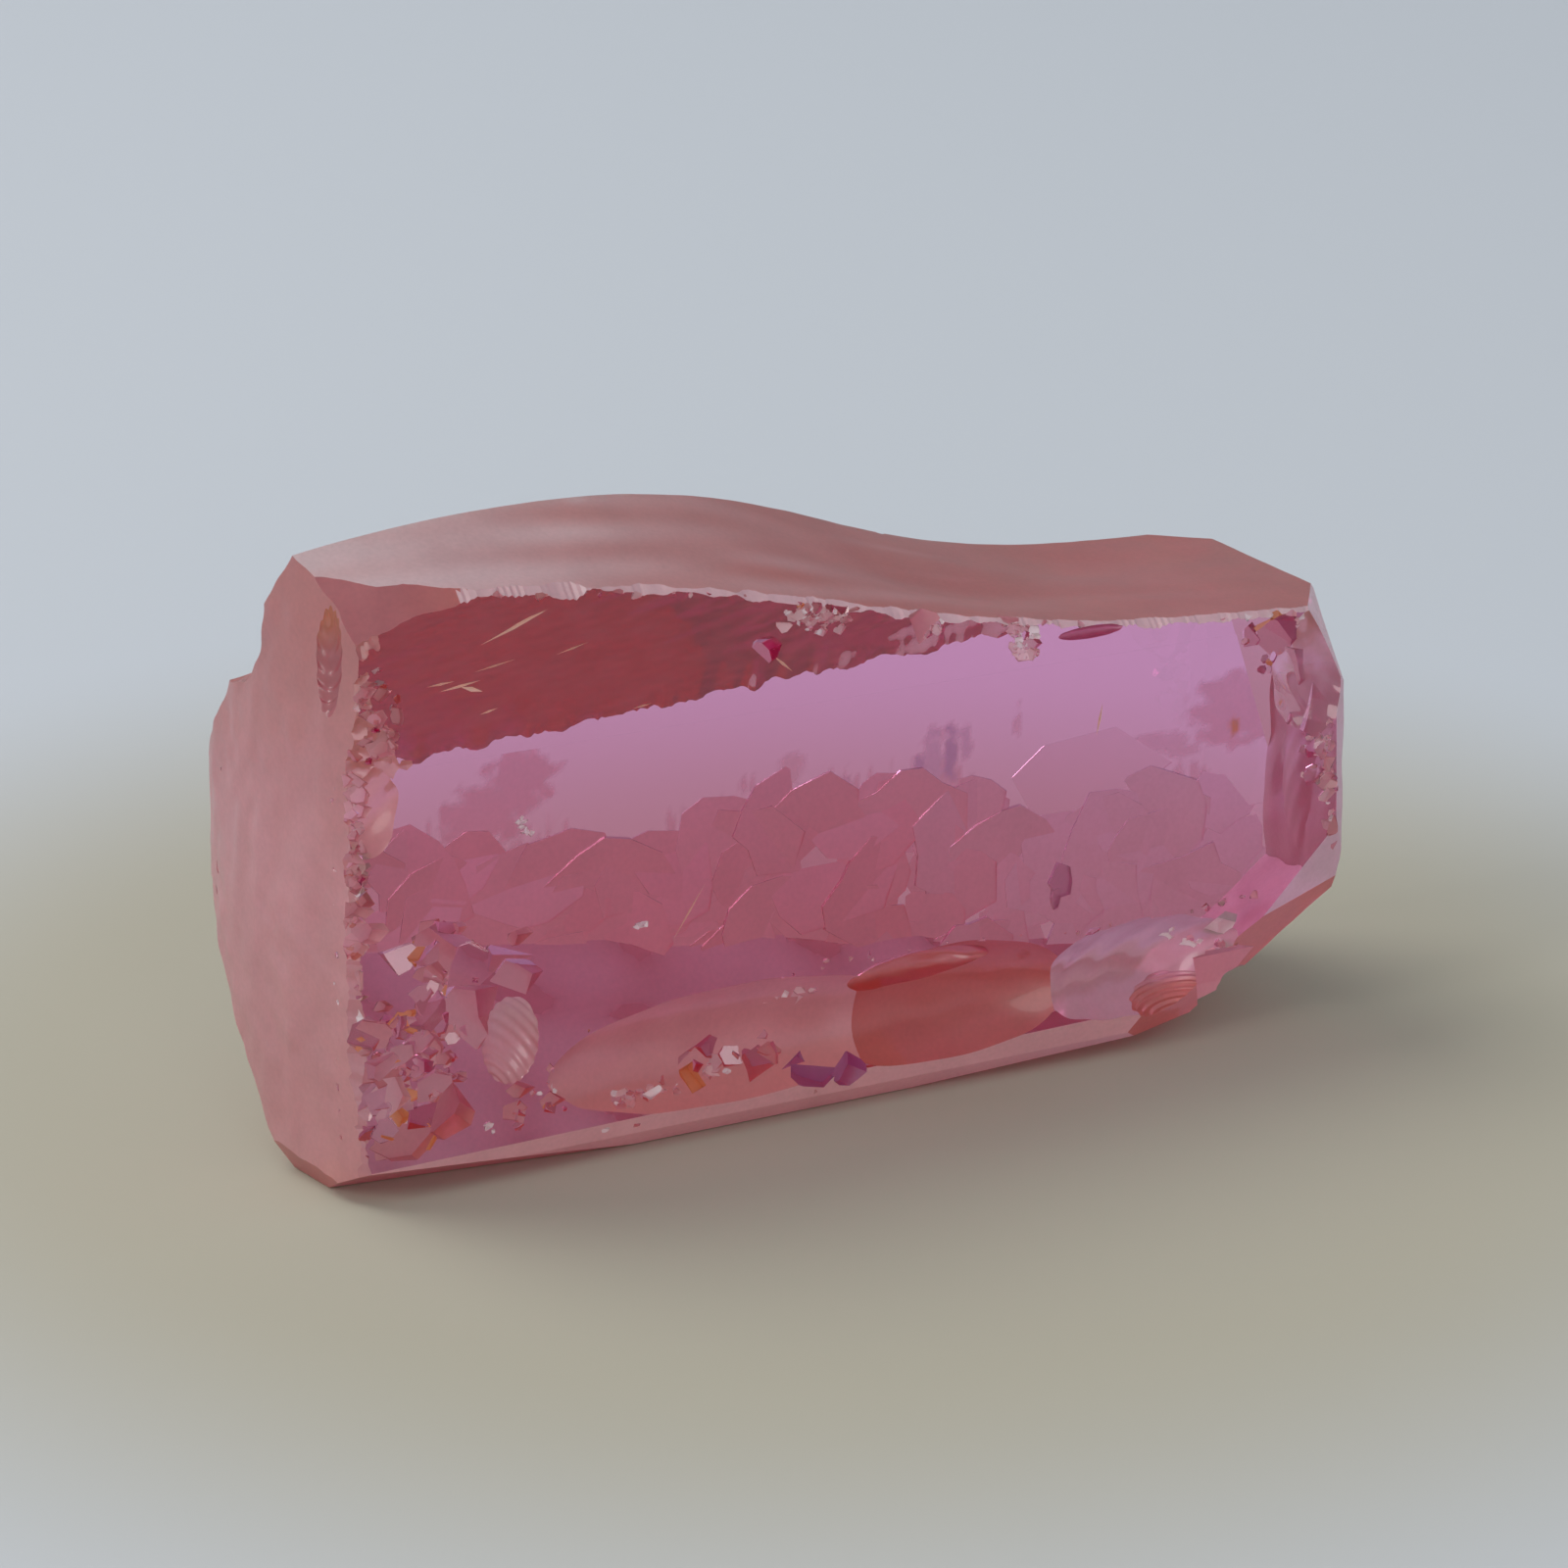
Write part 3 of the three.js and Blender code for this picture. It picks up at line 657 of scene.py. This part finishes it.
def end_relief(points):
    """The left end's reach beyond the block's side, with upright flutes and a ruffle."""
    y, z = points[..., 1], points[..., 2]
    reach = end_reach(y, z) - LENGTH / 2
    reach = reach + 0.05 * ruffle(y, 0.3 * z, 2.0, 5) + 0.03 * ruffle(y, z, 1.2, 6)
    return np.minimum(reach, -0.005)


def swelling(depth, waves):
    """A relief of long, low swells that lies `depth` under the face's plane on average."""
    def relief(points):
        x, y, z = points[..., 0], points[..., 1], points[..., 2]
        return ruffles(x + 0.8 * y, z - 0.3 * y, waves) - depth

    return relief


def bruise_relief(points):
    """How far the bruised zone stands off the front: -(slope)(distance left of its line), ruffled."""
    x, z = points[..., 0], points[..., 2]
    over = np.interp(z, BRUISE_LINE_Z, BRUISE_LINE_X) - x
    return -BRUISE_SLOPE * over - ruffles(x, z, BRUISE_WAVES) * np.clip(over + 0.8, 0, 1)


def rim_relief(points):
    """How far the top's front rim is from a plane at 45 degrees through y = FRONT, z = 0.

    The rim's edge lies at the top's height over y = FRONT less RIM_WIDTH, which the plane
    at 45 degrees turns into a distance of that height divided by the square root of 2.
    """
    x = points[..., 0]
    return (top_height(x, FRONT) - RIM_WIDTH + ruffles(x, 0, RIM_WAVES)) / math.sqrt(2)


def plate_tool(at, normal, radius, random, corners=11, stretch=1.0, flare=1.12):
    """What takes a flat flake off a face: an irregular prism standing on its plane.

    Corner k of the foot is at angle 2 pi (k + jitter) / corners and distance radius (1 + jitter),
    in the plane through `at`. `stretch` widens it along the plane's level line, and the outer
    ring is `flare` times as wide, three radii further out.
    """
    w = unit(normal)
    u = unit(np.cross([0, 0, 1.0], w))
    v = np.cross(w, u)
    turn = 2 * math.pi * (np.arange(corners) + random.uniform(-0.3, 0.3, corners)) / corners
    far = radius * random.uniform(0.78, 1.15, corners)
    foot = np.outer(far * np.cos(turn) * stretch, u) + np.outer(far * np.sin(turn), v)
    points = np.concatenate([foot, foot * flare + w * 3 * radius]) + at
    index = np.arange(corners)
    after = np.roll(index, -1)
    sides = np.stack([index, after, after + corners, index + corners], 1)
    return points, [index[None, ::-1], index[None] + corners, sides]


def shard(at, radii, random):
    """What knocks an angular nick: an octahedron with jittered corners, turned at random."""
    turn = np.linalg.qr(random.normal(size=(3, 3)))[0]
    corners = OCTAHEDRON_CORNERS + random.uniform(-0.3, 0.3, (6, 3))
    return corners @ (turn * np.linalg.det(turn)) * radii + at, [OCTAHEDRON]


def back_shells(random, palette):
    """Flat flakes that cover the lower back up to the shell line, in jittered rows."""
    first, last = SHELL_FIELD_X
    for row, z in enumerate(np.arange(*SHELL_FIELD_Z, SHELL_PITCH * 0.8)):
        for x in np.arange(first + (row % 2) * SHELL_PITCH / 2, last, SHELL_PITCH):
            at_x = x + random.uniform(-SHELL_SWAY, SHELL_SWAY)
            line = np.interp(at_x, SHELL_LINE_X, SHELL_LINE_Z)
            radius = random.uniform(*SHELL_RADII)
            at_z = min(z + random.uniform(-SHELL_RISE, SHELL_RISE), line - 0.8 * radius)
            if z > line + 0.5:
                continue
            foot = (at_x, BACK - random.uniform(*SHELL_DEPTHS), at_z)
            normal = (random.normal(0, SHELL_TILT), 1, random.normal(0, SHELL_TILT))
            corners = random.randint(*SHELL_CORNERS)
            plate = plate_tool(foot, normal, radius, random, corners, SHELL_STRETCH)
            chalky = float(np.clip((at_x - CHALKY_FROM) / CHALKY_OVER, 0, 1))
            frost = random.uniform(*SHELL_FROST) - CHALKY_CLEARER * chalky
            skin = (frost, "rose", "chalk", chalky * random.uniform(0.9, 1))
            yield ("shell", *plate, mixed(palette, skin))


def pick(random, kind):
    """The skin of one flake or chip."""
    skins, shares = zip(*FLAKE_SKINS[kind])
    return skins[random.choice(len(skins), p=shares)]


def glint_slivers(palette):
    """Long thin nicks in the front, each an octahedron stretched along its slope, with a pale amber skin
    that paints glints.
    """
    for x, z, length, width, slope in GLINT_SLIVERS:
        along = unit((1, 0, slope))
        across = np.cross(along, (0, 1, 0))
        axes = np.stack([along * length, np.array([0, SLIVER_DEPTH, 0]), across * width])
        points = OCTAHEDRON_CORNERS @ axes + (x, FRONT, z)
        yield ("sliver", points, [OCTAHEDRON], mixed(palette, GLINT_SLIVER_SKIN))


def point_between(start, end, share):
    """The point that is `share` of the way from start to end."""
    return np.array(start, float) * (1 - share) + np.array(end, float) * share


def crushed_flakes(random, palette):
    """Small flakes with scattered headings that crush patches of the front."""
    for start, end, spread, count, small, large, depth, kind in CRUSHED:
        for share in random.uniform(size=count):
            at = point_between(start, end, share)
            at[[0, 2]] += random.normal(0, spread, 2)
            reach = small + (large - small) * random.uniform() ** 2
            tilt = FLAKE_TILT[kind]
            normal = unit((random.normal(0, tilt), -1, random.normal(0.1, tilt)))
            foot = at - random.uniform(*FLAKE_SINK) * depth * normal
            skin = pick(random, kind)
            corners = random.randint(*FLAKE_CORNERS)
            stretch = random.uniform(*FLAKE_STRETCH)
            flake = plate_tool(foot, normal, reach, random, corners, stretch, FLAKE_FLARE)
            yield ("flake", *flake, mixed(palette, skin))


def rim_chips(random, palette):
    """The small chips that break the rims, and the pale specks on the front."""
    for start, end, count, small, large in CHIPPED_RIMS:
        for index in range(count):
            share = (index + random.uniform()) / count
            at = point_between(start, end, share)
            at += random.uniform(-0.5, 0.5, 3) * CHIP_SCATTER
            radius = small + (large - small) * random.uniform() ** 2
            radii = radius * random.uniform(CHIP_LEAST, CHIP_MOST)
            skin = pick(random, random.choice(("clear", "soft", "white")))
            yield ("chip", *shard(at, radii, random), mixed(palette, skin))
    for x, z in SPECKS:
        for _ in range(SPECK_NICKS):
            at = np.array((x, FRONT, z)) + random.normal(0, SPECK_SCATTER, 3) * (1, 0, 1)
            nick = shard(at, random.uniform(*SPECK_SIZES, 3), random)
            yield ("speck", *nick, mixed(palette, CHALKY))


def back_marks(random, palette):
    """Marks on the back that show through the stone."""
    for x, z, radius, stretch, depth, skin in BACK_MARKS:
        foot = (x, BACK - depth, z)
        mark = plate_tool(foot, (0, 1, 0), radius, random, MARK_CORNERS, stretch)
        yield ("mark", *mark, mixed(palette, skin))


def blended(palette, first, second, share):
    """Skins that go from the first to the second as share goes from 0 to 1."""
    share = share[:, None]
    return (1 - share) * np.array(mixed(palette, first)) + share * np.array(mixed(palette, second))


def slope_skins(points, palette, axis, low, low_skin, high, high_skin):
    """Skins for a slab's points that go from one skin to another along an axis, with a ruffle."""
    x, y, z = points.T
    height, size, seed = SKIN_EDGE
    share = (points[:, axis] - low) / (high - low)
    share = share + height * ruffle(x / 3 - z / 3, 2 * y + z / 3, size, seed)
    return blended(palette, low_skin, high_skin, np.clip(share, 0, 1))


def stained_skins(points, palette):
    """Skins of the upright back: clear, with soft stains and with strokes over the shell line.

    A stain's share is 2 - 2 (r^2 + ruffle) held to 0..1, with r the distance in its half-widths.
    A stroke's share falls with the height over the line.
    """
    x, z = points[:, 0], points[:, 2]
    over = z - np.interp(x, SHELL_LINE_X, SHELL_LINE_Z)
    strokes = 0.7 * ruffle(x, 0.2 * z, 0.5, 33) + 0.5 * ruffle(x, z, 3, 34)
    skins = blended(palette, GLASSY, STROKE, np.clip(strokes - over, 0, 0.7))
    for at_x, at_z, across, up, skin in STAINS:
        away = ((x - at_x) / across) ** 2 + ((z - at_z) / up) ** 2 + 0.3 * ruffle(x, z, 0.8, 35)
        share = np.clip(2 - 2 * away, 0, 1)[:, None]
        skins = (1 - share) * skins + share * np.array(mixed(palette, skin))
    return skins


def streaked_skins(points, palette):
    """Skins of the leaning back: a thin red tint, painted shade for the shaded floor it reflects, with
    soft streaks, stronger at the left.
    """
    x, z = points[:, 0], points[:, 2]
    run = ruffle(0.14 * x, z - 0.2 * x, 0.5, 31) + 0.8 * ruffle(x, z, 2.5, 32) - 0.09 * (x + 8)
    return blended(palette, RED_BAND_SHADE, STREAKED, np.clip(0.35 + 0.3 * run, 0, 1))


def all_cutters(palette):
    """Every tool that cuts the stone, coarse ones first, as (name, points, faces, skins)."""
    random = np.random.RandomState(SEED)
    for name, (at, normal, skin) in CLEAVAGES.items():
        face = slab(at, normal, (SLAB_REACH, SLAB_REACH), (2, 2), no_relief)
        yield (name, *face, mixed(palette, skin))
    back = slab(*SHAPED["back_upper"], back_relief)
    yield ("back_upper", *back, streaked_skins(back[0], palette))
    steps = (round(LENGTH / STAIN_STEP), round(STAIN_TOP / 2 / STAIN_STEP))
    reach = (LENGTH / 2, STAIN_TOP / 4)
    film = slab((0, BACK - STAIN_DEPTH, STAIN_TOP * 0.75), (0, 1, 0), reach, steps, no_relief)
    yield ("film", *film, stained_skins(film[0], palette))
    for name, (at, normal, reach, steps, depth, waves, slope) in SWELLING.items():
        face = slab(at, normal, reach, steps, swelling(depth, waves))
        yield (name, *face, slope_skins(face[0], palette, *slope))
    top = slab(*SHAPED["top"], top_relief)
    yield ("top", *top, slope_skins(top[0], palette, *TOP_SKINS))
    rim = slab(*SHAPED["top_rim"], rim_relief)
    yield ("top_rim", *rim, mixed(palette, RIM_SKIN))
    end = slab(*SHAPED["end"], end_relief)
    yield ("end", *end, slope_skins(end[0], palette, *END_SKINS))
    bruise = slab(*SHAPED["bruise"], bruise_relief)
    yield ("bruise", *bruise, slope_skins(bruise[0], palette, *BRUISE_SKINS))
    yield from back_shells(random, palette)
    yield from back_marks(random, palette)
    for name, (at, radii, blow, ripple, rings, low_skin, high_skin) in SCOOPS.items():
        scoop = lump(at, radii, blow, ripple, rings)
        middle = at[2] + SCOOP_SKIN_MIDDLE * radii[2]
        half = SCOOP_SKIN_HALF * radii[2]
        skins = slope_skins(scoop[0], palette, 2, middle - half, low_skin, middle + half, high_skin)
        yield (name, *scoop, skins)
    for at, reach, normal, depth, skin in BREAKS:
        foot = np.array(at, float) - depth * unit(normal)
        face = plate_tool(foot, normal, reach, random, BREAK_CORNERS)
        yield ("break", *face, mixed(palette, skin))
    yield from glint_slivers(palette)
    yield from crushed_flakes(random, palette)
    yield from rim_chips(random, palette)


def cleave_stone(palette):
    """Cuts the block with all the tools at once and returns the finished mesh, in metres."""
    half_length, half_depth = LENGTH / 2 + BLOCK_MARGIN, DEPTH / 2 + BLOCK_MARGIN
    points = np.array([
        (x * half_length, y * half_depth, z)
        for z in (-BLOCK_MARGIN, HEIGHT + BLOCK_MARGIN)
        for x, y in ((-1, -1), (1, -1), (1, 1), (-1, 1))
    ])
    stone = add_object("block", points, [BLOCK_FACES], mixed(palette, GLASSY))
    tools = [add_object(*cutter) for cutter in all_cutters(palette)]
    group = bpy.data.collections.new("cutters")
    for tool in tools:
        group.objects.link(tool)
    cut = stone.modifiers.new("cut", "BOOLEAN")
    cut.operation = "DIFFERENCE"
    cut.solver = "MANIFOLD"
    cut.operand_type = "COLLECTION"
    cut.collection = group
    depsgraph = bpy.context.evaluated_depsgraph_get()
    mesh = bpy.data.meshes.new_from_object(stone.evaluated_get(depsgraph))
    for made in [*tools, stone]:
        old = made.data
        bpy.data.objects.remove(made)
        bpy.data.meshes.remove(old)
    bpy.data.collections.remove(group)
    points = np.empty(len(mesh.vertices) * 3)
    mesh.vertices.foreach_get("co", points)
    mesh.vertices.foreach_set("co", points * MM)
    mesh.update()
    return mesh


# ---------------------------------------------------------------- shader expressions

class Value:
    """A shader socket that adds its Math nodes when it is used in an expression."""

    def __init__(self, shader, socket):
        self.shader = shader
        self.socket = socket

    def __add__(self, other):
        return self.shader.math("ADD", self, other)

    def __sub__(self, other):
        return self.shader.math("SUBTRACT", self, other)

    def __mul__(self, other):
        return self.shader.math("MULTIPLY", self, other)

    def clipped(self):
        """The value held between 0 and 1."""
        return self.shader.node("ShaderNodeClamp", {}, {"Value": self})

    def between(self, low, high):
        """A smooth step from 0 at `low` to 1 at `high`."""
        ends = {"Value": self, "From Min": low, "From Max": high}
        return self.shader.node("ShaderNodeMapRange", {"interpolation_type": "SMOOTHSTEP"}, ends)


class Shader:
    """A material whose nodes are added by expressions."""

    def __init__(self, name):
        self.material = bpy.data.materials.new(name)
        self.material.use_nodes = True
        self.tree = self.material.node_tree
        self.tree.nodes.clear()
        self.output = self.tree.nodes.new("ShaderNodeOutputMaterial")

    def node(self, kind, settings, inputs, result=0):
        """Adds a node, applies its settings, then its inputs by socket identifier or name."""
        node = self.tree.nodes.new(kind)
        for key, value in settings.items():
            setattr(node, key, value)
        for key, value in inputs.items():
            socket = next((s for s in node.inputs if s.identifier == key), None) or node.inputs[key]
            if isinstance(value, Value):
                self.tree.links.new(value.socket, socket)
            else:
                socket.default_value = value
        if isinstance(result, str):
            return Value(self, next(s for s in node.outputs if s.identifier == result))
        return Value(self, node.outputs[result])

    def math(self, operation, first, second):
        inputs = {"Value": first, "Value_001": second}
        return self.node("ShaderNodeMath", {"operation": operation}, inputs)

    def blend(self, share, first, second):
        """A colour that goes from `first` to `second` as share goes from 0 to 1."""
        inputs = {"Factor_Float": share, "A_Color": first, "B_Color": second}
        return self.node("ShaderNodeMix", {"data_type": "RGBA"}, inputs, "Result_Color")

    def finish(self, surface, volume=None):
        self.tree.links.new(surface.socket, self.output.inputs["Surface"])
        if volume is not None:
            self.tree.links.new(volume.socket, self.output.inputs["Volume"])
        return self.material


def rgb(colour):
    """A linear colour with full alpha."""
    return (*colour, 1.0)


# ---------------------------------------------------------------- settings

def tint_property(name, description, default):
    """A colour property."""
    return FloatVectorProperty(
        name=name, description=description, subtype="COLOR", size=3, default=default, min=0, max=1
    )


def power_property(name, description, default):
    """A light's power."""
    return FloatProperty(name=name, description=description, default=default, min=0, unit="POWER")


def angle_property(name, description, degrees):
    """An angle, with its default in degrees."""
    return FloatProperty(
        name=name, description=description, default=math.radians(degrees),
        subtype="ANGLE", unit="ROTATION",
    )


class SapphireFinish(bpy.types.PropertyGroup):
    """Colours and gloss of the stone."""

    refraction: FloatProperty(
        name="Refractive index", description="How strongly the crystal bends light", default=1.765, min=1.0
    )
    absorption: FloatProperty(
        name="Absorption", description="How dense the crystal's colour is, per metre", default=100.0, min=0
    )
    body_colour: tint_property("Body colour", "What the crystal passes", (0.985, 0.30, 0.74))
    skin_colour: tint_property("Skin colour", "Tint of the frosted skin", (0.93, 0.60, 0.62))
    # Besides the stone's own colours, these also paint light and shade: brick, amber and ember the shade
    # in the red band and the foot; chalk, amber and violet the sheen, reflections, glints and the light
    # through the keel
    brick_colour: tint_property("Brick colour", "Tint of the stained lower faces", (0.95, 0.30, 0.13))
    rose_colour: tint_property("Rose colour", "Tint of the flaked back", (0.93, 0.42, 0.42))
    russet_colour: tint_property("Russet colour", "Tint of the darker satin faces", (0.62, 0.22, 0.17))
    chalk_colour: tint_property("Chalk colour", "Tint of bruised and pale places", (0.95, 0.90, 0.92))
    amber_colour: tint_property("Amber colour", "Tint of the small amber flecks", (0.90, 0.42, 0.06))
    violet_colour: tint_property("Violet colour", "Tint of the violet windows", (0.25, 0.12, 0.55))
    ember_colour: tint_property("Ember colour", "Tint of the deep red stains", (0.72, 0.10, 0.05))
    frost_roughness: FloatProperty(
        name="Frost roughness", description="Roughness of the frosted skin", default=0.42, min=0, max=1
    )


class SapphireStage(bpy.types.PropertyGroup):
    """Floor, light and camera."""

    floor_colour: tint_property("Floor colour", "Floor round the stone", (0.46, 0.435, 0.345))
    far_colour: tint_property("Backdrop colour", "Floor and backdrop further off", (0.60, 0.635, 0.68))
    sky_strength: FloatProperty(
        name="Sky strength", description="Strength of the soft sky", default=0.44, min=0
    )
    key_power: power_property("Key light power", "Power of the large soft light", 2.7)
    fill_power: power_property("Fill light power", "Power of the light on the left end", 0.9)
    bounce_power: power_property("Bounce light power", "Power of the low light in front", 0.6)
    azimuth: angle_property("Camera azimuth", "Angle round the stone from its front", -28)
    elevation: angle_property("Camera elevation", "Angle above the horizon", 19)
    distance: FloatProperty(
        name="Camera distance", description="From the camera to its target", default=0.25,
        subtype="DISTANCE", unit="LENGTH",
    )


# ---------------------------------------------------------------- operators

def crystal_material(finish):
    """Clear crystal where it is cleaved flat, frosted and tinted where its skin says so."""
    shader = Shader("pink_corundum")
    place = shader.node("ShaderNodeTexCoord", {}, {}, 3)
    stain = shader.node("ShaderNodeAttribute", {"attribute_name": "tint"}, {}, "Vector")
    frost = shader.node("ShaderNodeAttribute", {"attribute_name": "frost"}, {}, "Fac")
    grain = shader.node("ShaderNodeTexNoise", {}, {"Vector": place, "Scale": 5000.0, "Detail": 1.0})
    cloud = shader.node("ShaderNodeTexNoise", {}, {"Vector": place, "Scale": 400.0, "Detail": 2.0})
    mottle = cloud * 0.3 + grain * 0.2 + 0.75
    tint = shader.node("ShaderNodeVectorMath", {"operation": "SCALE"}, {"Vector": stain, "Scale": mottle})
    bump = shader.node("ShaderNodeBump", {}, {"Strength": 0.12, "Distance": 0.00002, "Height": grain})
    clear = shader.node(
        "ShaderNodeBsdfPrincipled",
        {},
        {
            "Base Color": (1, 1, 1, 1),
            "Roughness": 0.0,
            "IOR": finish.refraction,
            "Transmission Weight": 1.0,
        },
    )
    milky = shader.node(
        "ShaderNodeBsdfPrincipled",
        {},
        {
            "Base Color": tint,
            "Roughness": finish.frost_roughness,
            "IOR": finish.refraction,
            "Transmission Weight": 0.6,
        },
    )
    powder = shader.node(
        "ShaderNodeBsdfPrincipled", {}, {"Base Color": tint, "Roughness": 0.5, "Normal": bump}
    )
    satin = shader.node(
        "ShaderNodeMixShader", {}, {"Fac": frost.clipped(), "Shader": clear, "Shader_001": milky}
    )
    surface = shader.node(
        "ShaderNodeMixShader", {}, {"Fac": (frost - 1).clipped(), "Shader": satin, "Shader_001": powder}
    )
    volume = shader.node(
        "ShaderNodeVolumeAbsorption", {}, {"Color": rgb(finish.body_colour), "Density": finish.absorption}
    )
    return shader.finish(surface, volume)


class SAPPHIRE_OT_crystal(bpy.types.Operator):
    """Cleave the crystal and give it its finish"""

    bl_idname = "sapphire.crystal"
    bl_label = "Crystal"

    def execute(self, context):
        finish = context.scene.sapphire_finish
        palette = {name: np.array(getattr(finish, name + "_colour")) for name in COLOURS}
        mesh = cleave_stone(palette)
        mesh.name = "rough_sapphire"
        mesh.set_sharp_from_angle(angle=SHARP_ANGLE)
        areas = np.empty(len(mesh.polygons))
        mesh.polygons.foreach_get("area", areas)
        mesh.polygons.foreach_set("use_smooth", areas < FLAT_AREA * MM**2)
        mesh.materials.clear()
        mesh.materials.append(crystal_material(finish))
        piece = bpy.data.objects.new("rough_sapphire", mesh)
        context.scene.collection.objects.link(piece)
        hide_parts(NODE)
        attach(piece, "root")
        return {"FINISHED"}


def bowl_profile(radius, corner, rim):
    """Radius and height along a floor that turns up into a wall by a quarter circle."""
    angle = np.linspace(0, math.pi / 2, BOWL_CORNER_STEPS)[1:]
    flat = np.linspace(BOWL_MIDDLE, radius - corner, BOWL_FLAT_STEPS)
    out = np.concatenate([flat, radius - corner + corner * np.sin(angle), [radius]])
    up = np.concatenate([0 * flat, corner * (1 - np.cos(angle)), [rim]]) - FLOOR_DROP
    return out, up


def stage_material(stage):
    """Matt paper: one colour round the stone, a cooler one further off."""
    shader = Shader("stage_paper")
    place = shader.node("ShaderNodeTexCoord", {}, {}, 3)
    far = shader.node("ShaderNodeVectorMath", {"operation": "LENGTH"}, {"Vector": place}, 1)
    colour = shader.blend(far.between(*FLOOR_FADE), rgb(stage.floor_colour), rgb(stage.far_colour))
    paper = shader.node("ShaderNodeBsdfPrincipled", {}, {"Base Color": colour, "Roughness": 0.9})
    return shader.finish(paper)


def lay_floor(scene, settings):
    """A round bowl of paper: rings of quads, closed in the middle by a fan of triangles."""
    out, up = bowl_profile(BOWL_RADIUS, BOWL_CORNER, BOWL_HEIGHT)
    turn = np.linspace(0, 2 * math.pi, BOWL_SIDES, endpoint=False)
    ring = np.stack(
        [out[:, None] * np.cos(turn), out[:, None] * np.sin(turn), up[:, None] + 0 * turn], -1
    )
    points = np.concatenate([ring.reshape(-1, 3), [[0, 0, -FLOOR_DROP]]])
    index = np.arange(len(out) * len(turn)).reshape(len(out), len(turn))
    after = np.roll(index, -1, axis=1)
    quads = np.stack([index[:-1], index[1:], after[1:], after[:-1]], -1).reshape(-1, 4).tolist()
    middle = [(len(points) - 1, first, second) for first, second in zip(index[0], after[0])]
    mesh = bpy.data.meshes.new("stage_floor")
    mesh.from_pydata(points.tolist(), [], quads + middle)
    mesh.polygons.foreach_set("use_smooth", np.ones(len(mesh.polygons), bool))
    mesh.materials.append(stage_material(settings))
    floor = bpy.data.objects.new("stage_floor", mesh)
    scene.collection.objects.link(floor)
    floor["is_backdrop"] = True


def light_sky(scene, settings):
    """An even sky all round."""
    world = bpy.data.worlds.new("soft_sky")
    scene.world = world
    world.use_nodes = True
    sky = world.node_tree.nodes["Background"]
    sky.inputs["Color"].default_value = SKY_COLOUR
    sky.inputs["Strength"].default_value = settings.sky_strength


def hang_lights(scene, settings):
    """The round lights, each turned to the stone."""
    for name, (at, size, colour) in LIGHTS.items():
        data = bpy.data.lights.new(name + "_softbox", "AREA")
        data.shape = "DISK"
        data.size = size
        data.energy = getattr(settings, name + "_power")
        data.color = colour
        lamp = bpy.data.objects.new(name + "_softbox", data)
        lamp.location = at
        lamp.rotation_euler = (Vector(LIGHT_TARGET) - Vector(at)).to_track_quat("-Z", "Y").to_euler()
        scene.collection.objects.link(lamp)


def place_camera(scene, settings):
    """The camera, on a sphere round its target."""
    data = bpy.data.cameras.new("camera")
    data.lens = CAMERA_LENS
    data.sensor_width = CAMERA_SENSOR
    data.clip_start = CAMERA_NEAR
    camera = bpy.data.objects.new("camera", data)
    azimuth, elevation = settings.azimuth, settings.elevation
    back = Vector((
        math.sin(azimuth) * math.cos(elevation),
        -math.cos(azimuth) * math.cos(elevation),
        math.sin(elevation),
    ))
    camera.location = Vector(CAMERA_TARGET) + back * settings.distance
    camera.rotation_euler = (-back).to_track_quat("-Z", "Y").to_euler()
    scene.collection.objects.link(camera)
    scene.camera = camera


class SAPPHIRE_OT_stage(bpy.types.Operator):
    """Lay the floor, hang the lights and place the camera"""

    bl_idname = "sapphire.stage"
    bl_label = "Stage"

    def execute(self, context):
        settings = context.scene.sapphire_stage
        lay_floor(context.scene, settings)
        light_sky(context.scene, settings)
        hang_lights(context.scene, settings)
        place_camera(context.scene, settings)
        context.scene.view_settings.view_transform = "Standard"
        return {"FINISHED"}


class SAPPHIRE_PT_panel(bpy.types.Panel):
    """Sidebar panel that lists the pieces and their settings"""

    bl_idname = "SAPPHIRE_PT_panel"
    bl_label = "Rough Sapphire"
    bl_space_type = "VIEW_3D"
    bl_region_type = "UI"
    bl_category = "Sapphire"

    def draw(self, context):
        for group, operator in (
            (context.scene.sapphire_finish, SAPPHIRE_OT_crystal.bl_idname),
            (context.scene.sapphire_stage, SAPPHIRE_OT_stage.bl_idname),
        ):
            box = self.layout.box()
            for key in group.__annotations__:
                box.prop(group, key)
            box.operator(operator)


CLASSES = (SapphireFinish, SapphireStage, SAPPHIRE_OT_crystal, SAPPHIRE_OT_stage, SAPPHIRE_PT_panel)


def register():
    for cls in CLASSES:
        bpy.utils.register_class(cls)
    bpy.types.Scene.sapphire_finish = PointerProperty(type=SapphireFinish)
    bpy.types.Scene.sapphire_stage = PointerProperty(type=SapphireStage)


def unregister():
    del bpy.types.Scene.sapphire_stage
    del bpy.types.Scene.sapphire_finish
    for cls in reversed(CLASSES):
        bpy.utils.unregister_class(cls)


def main():
    register()
    bpy.ops.sapphire.crystal()
    bpy.ops.sapphire.stage()


if __name__ == "__main__":
    main()
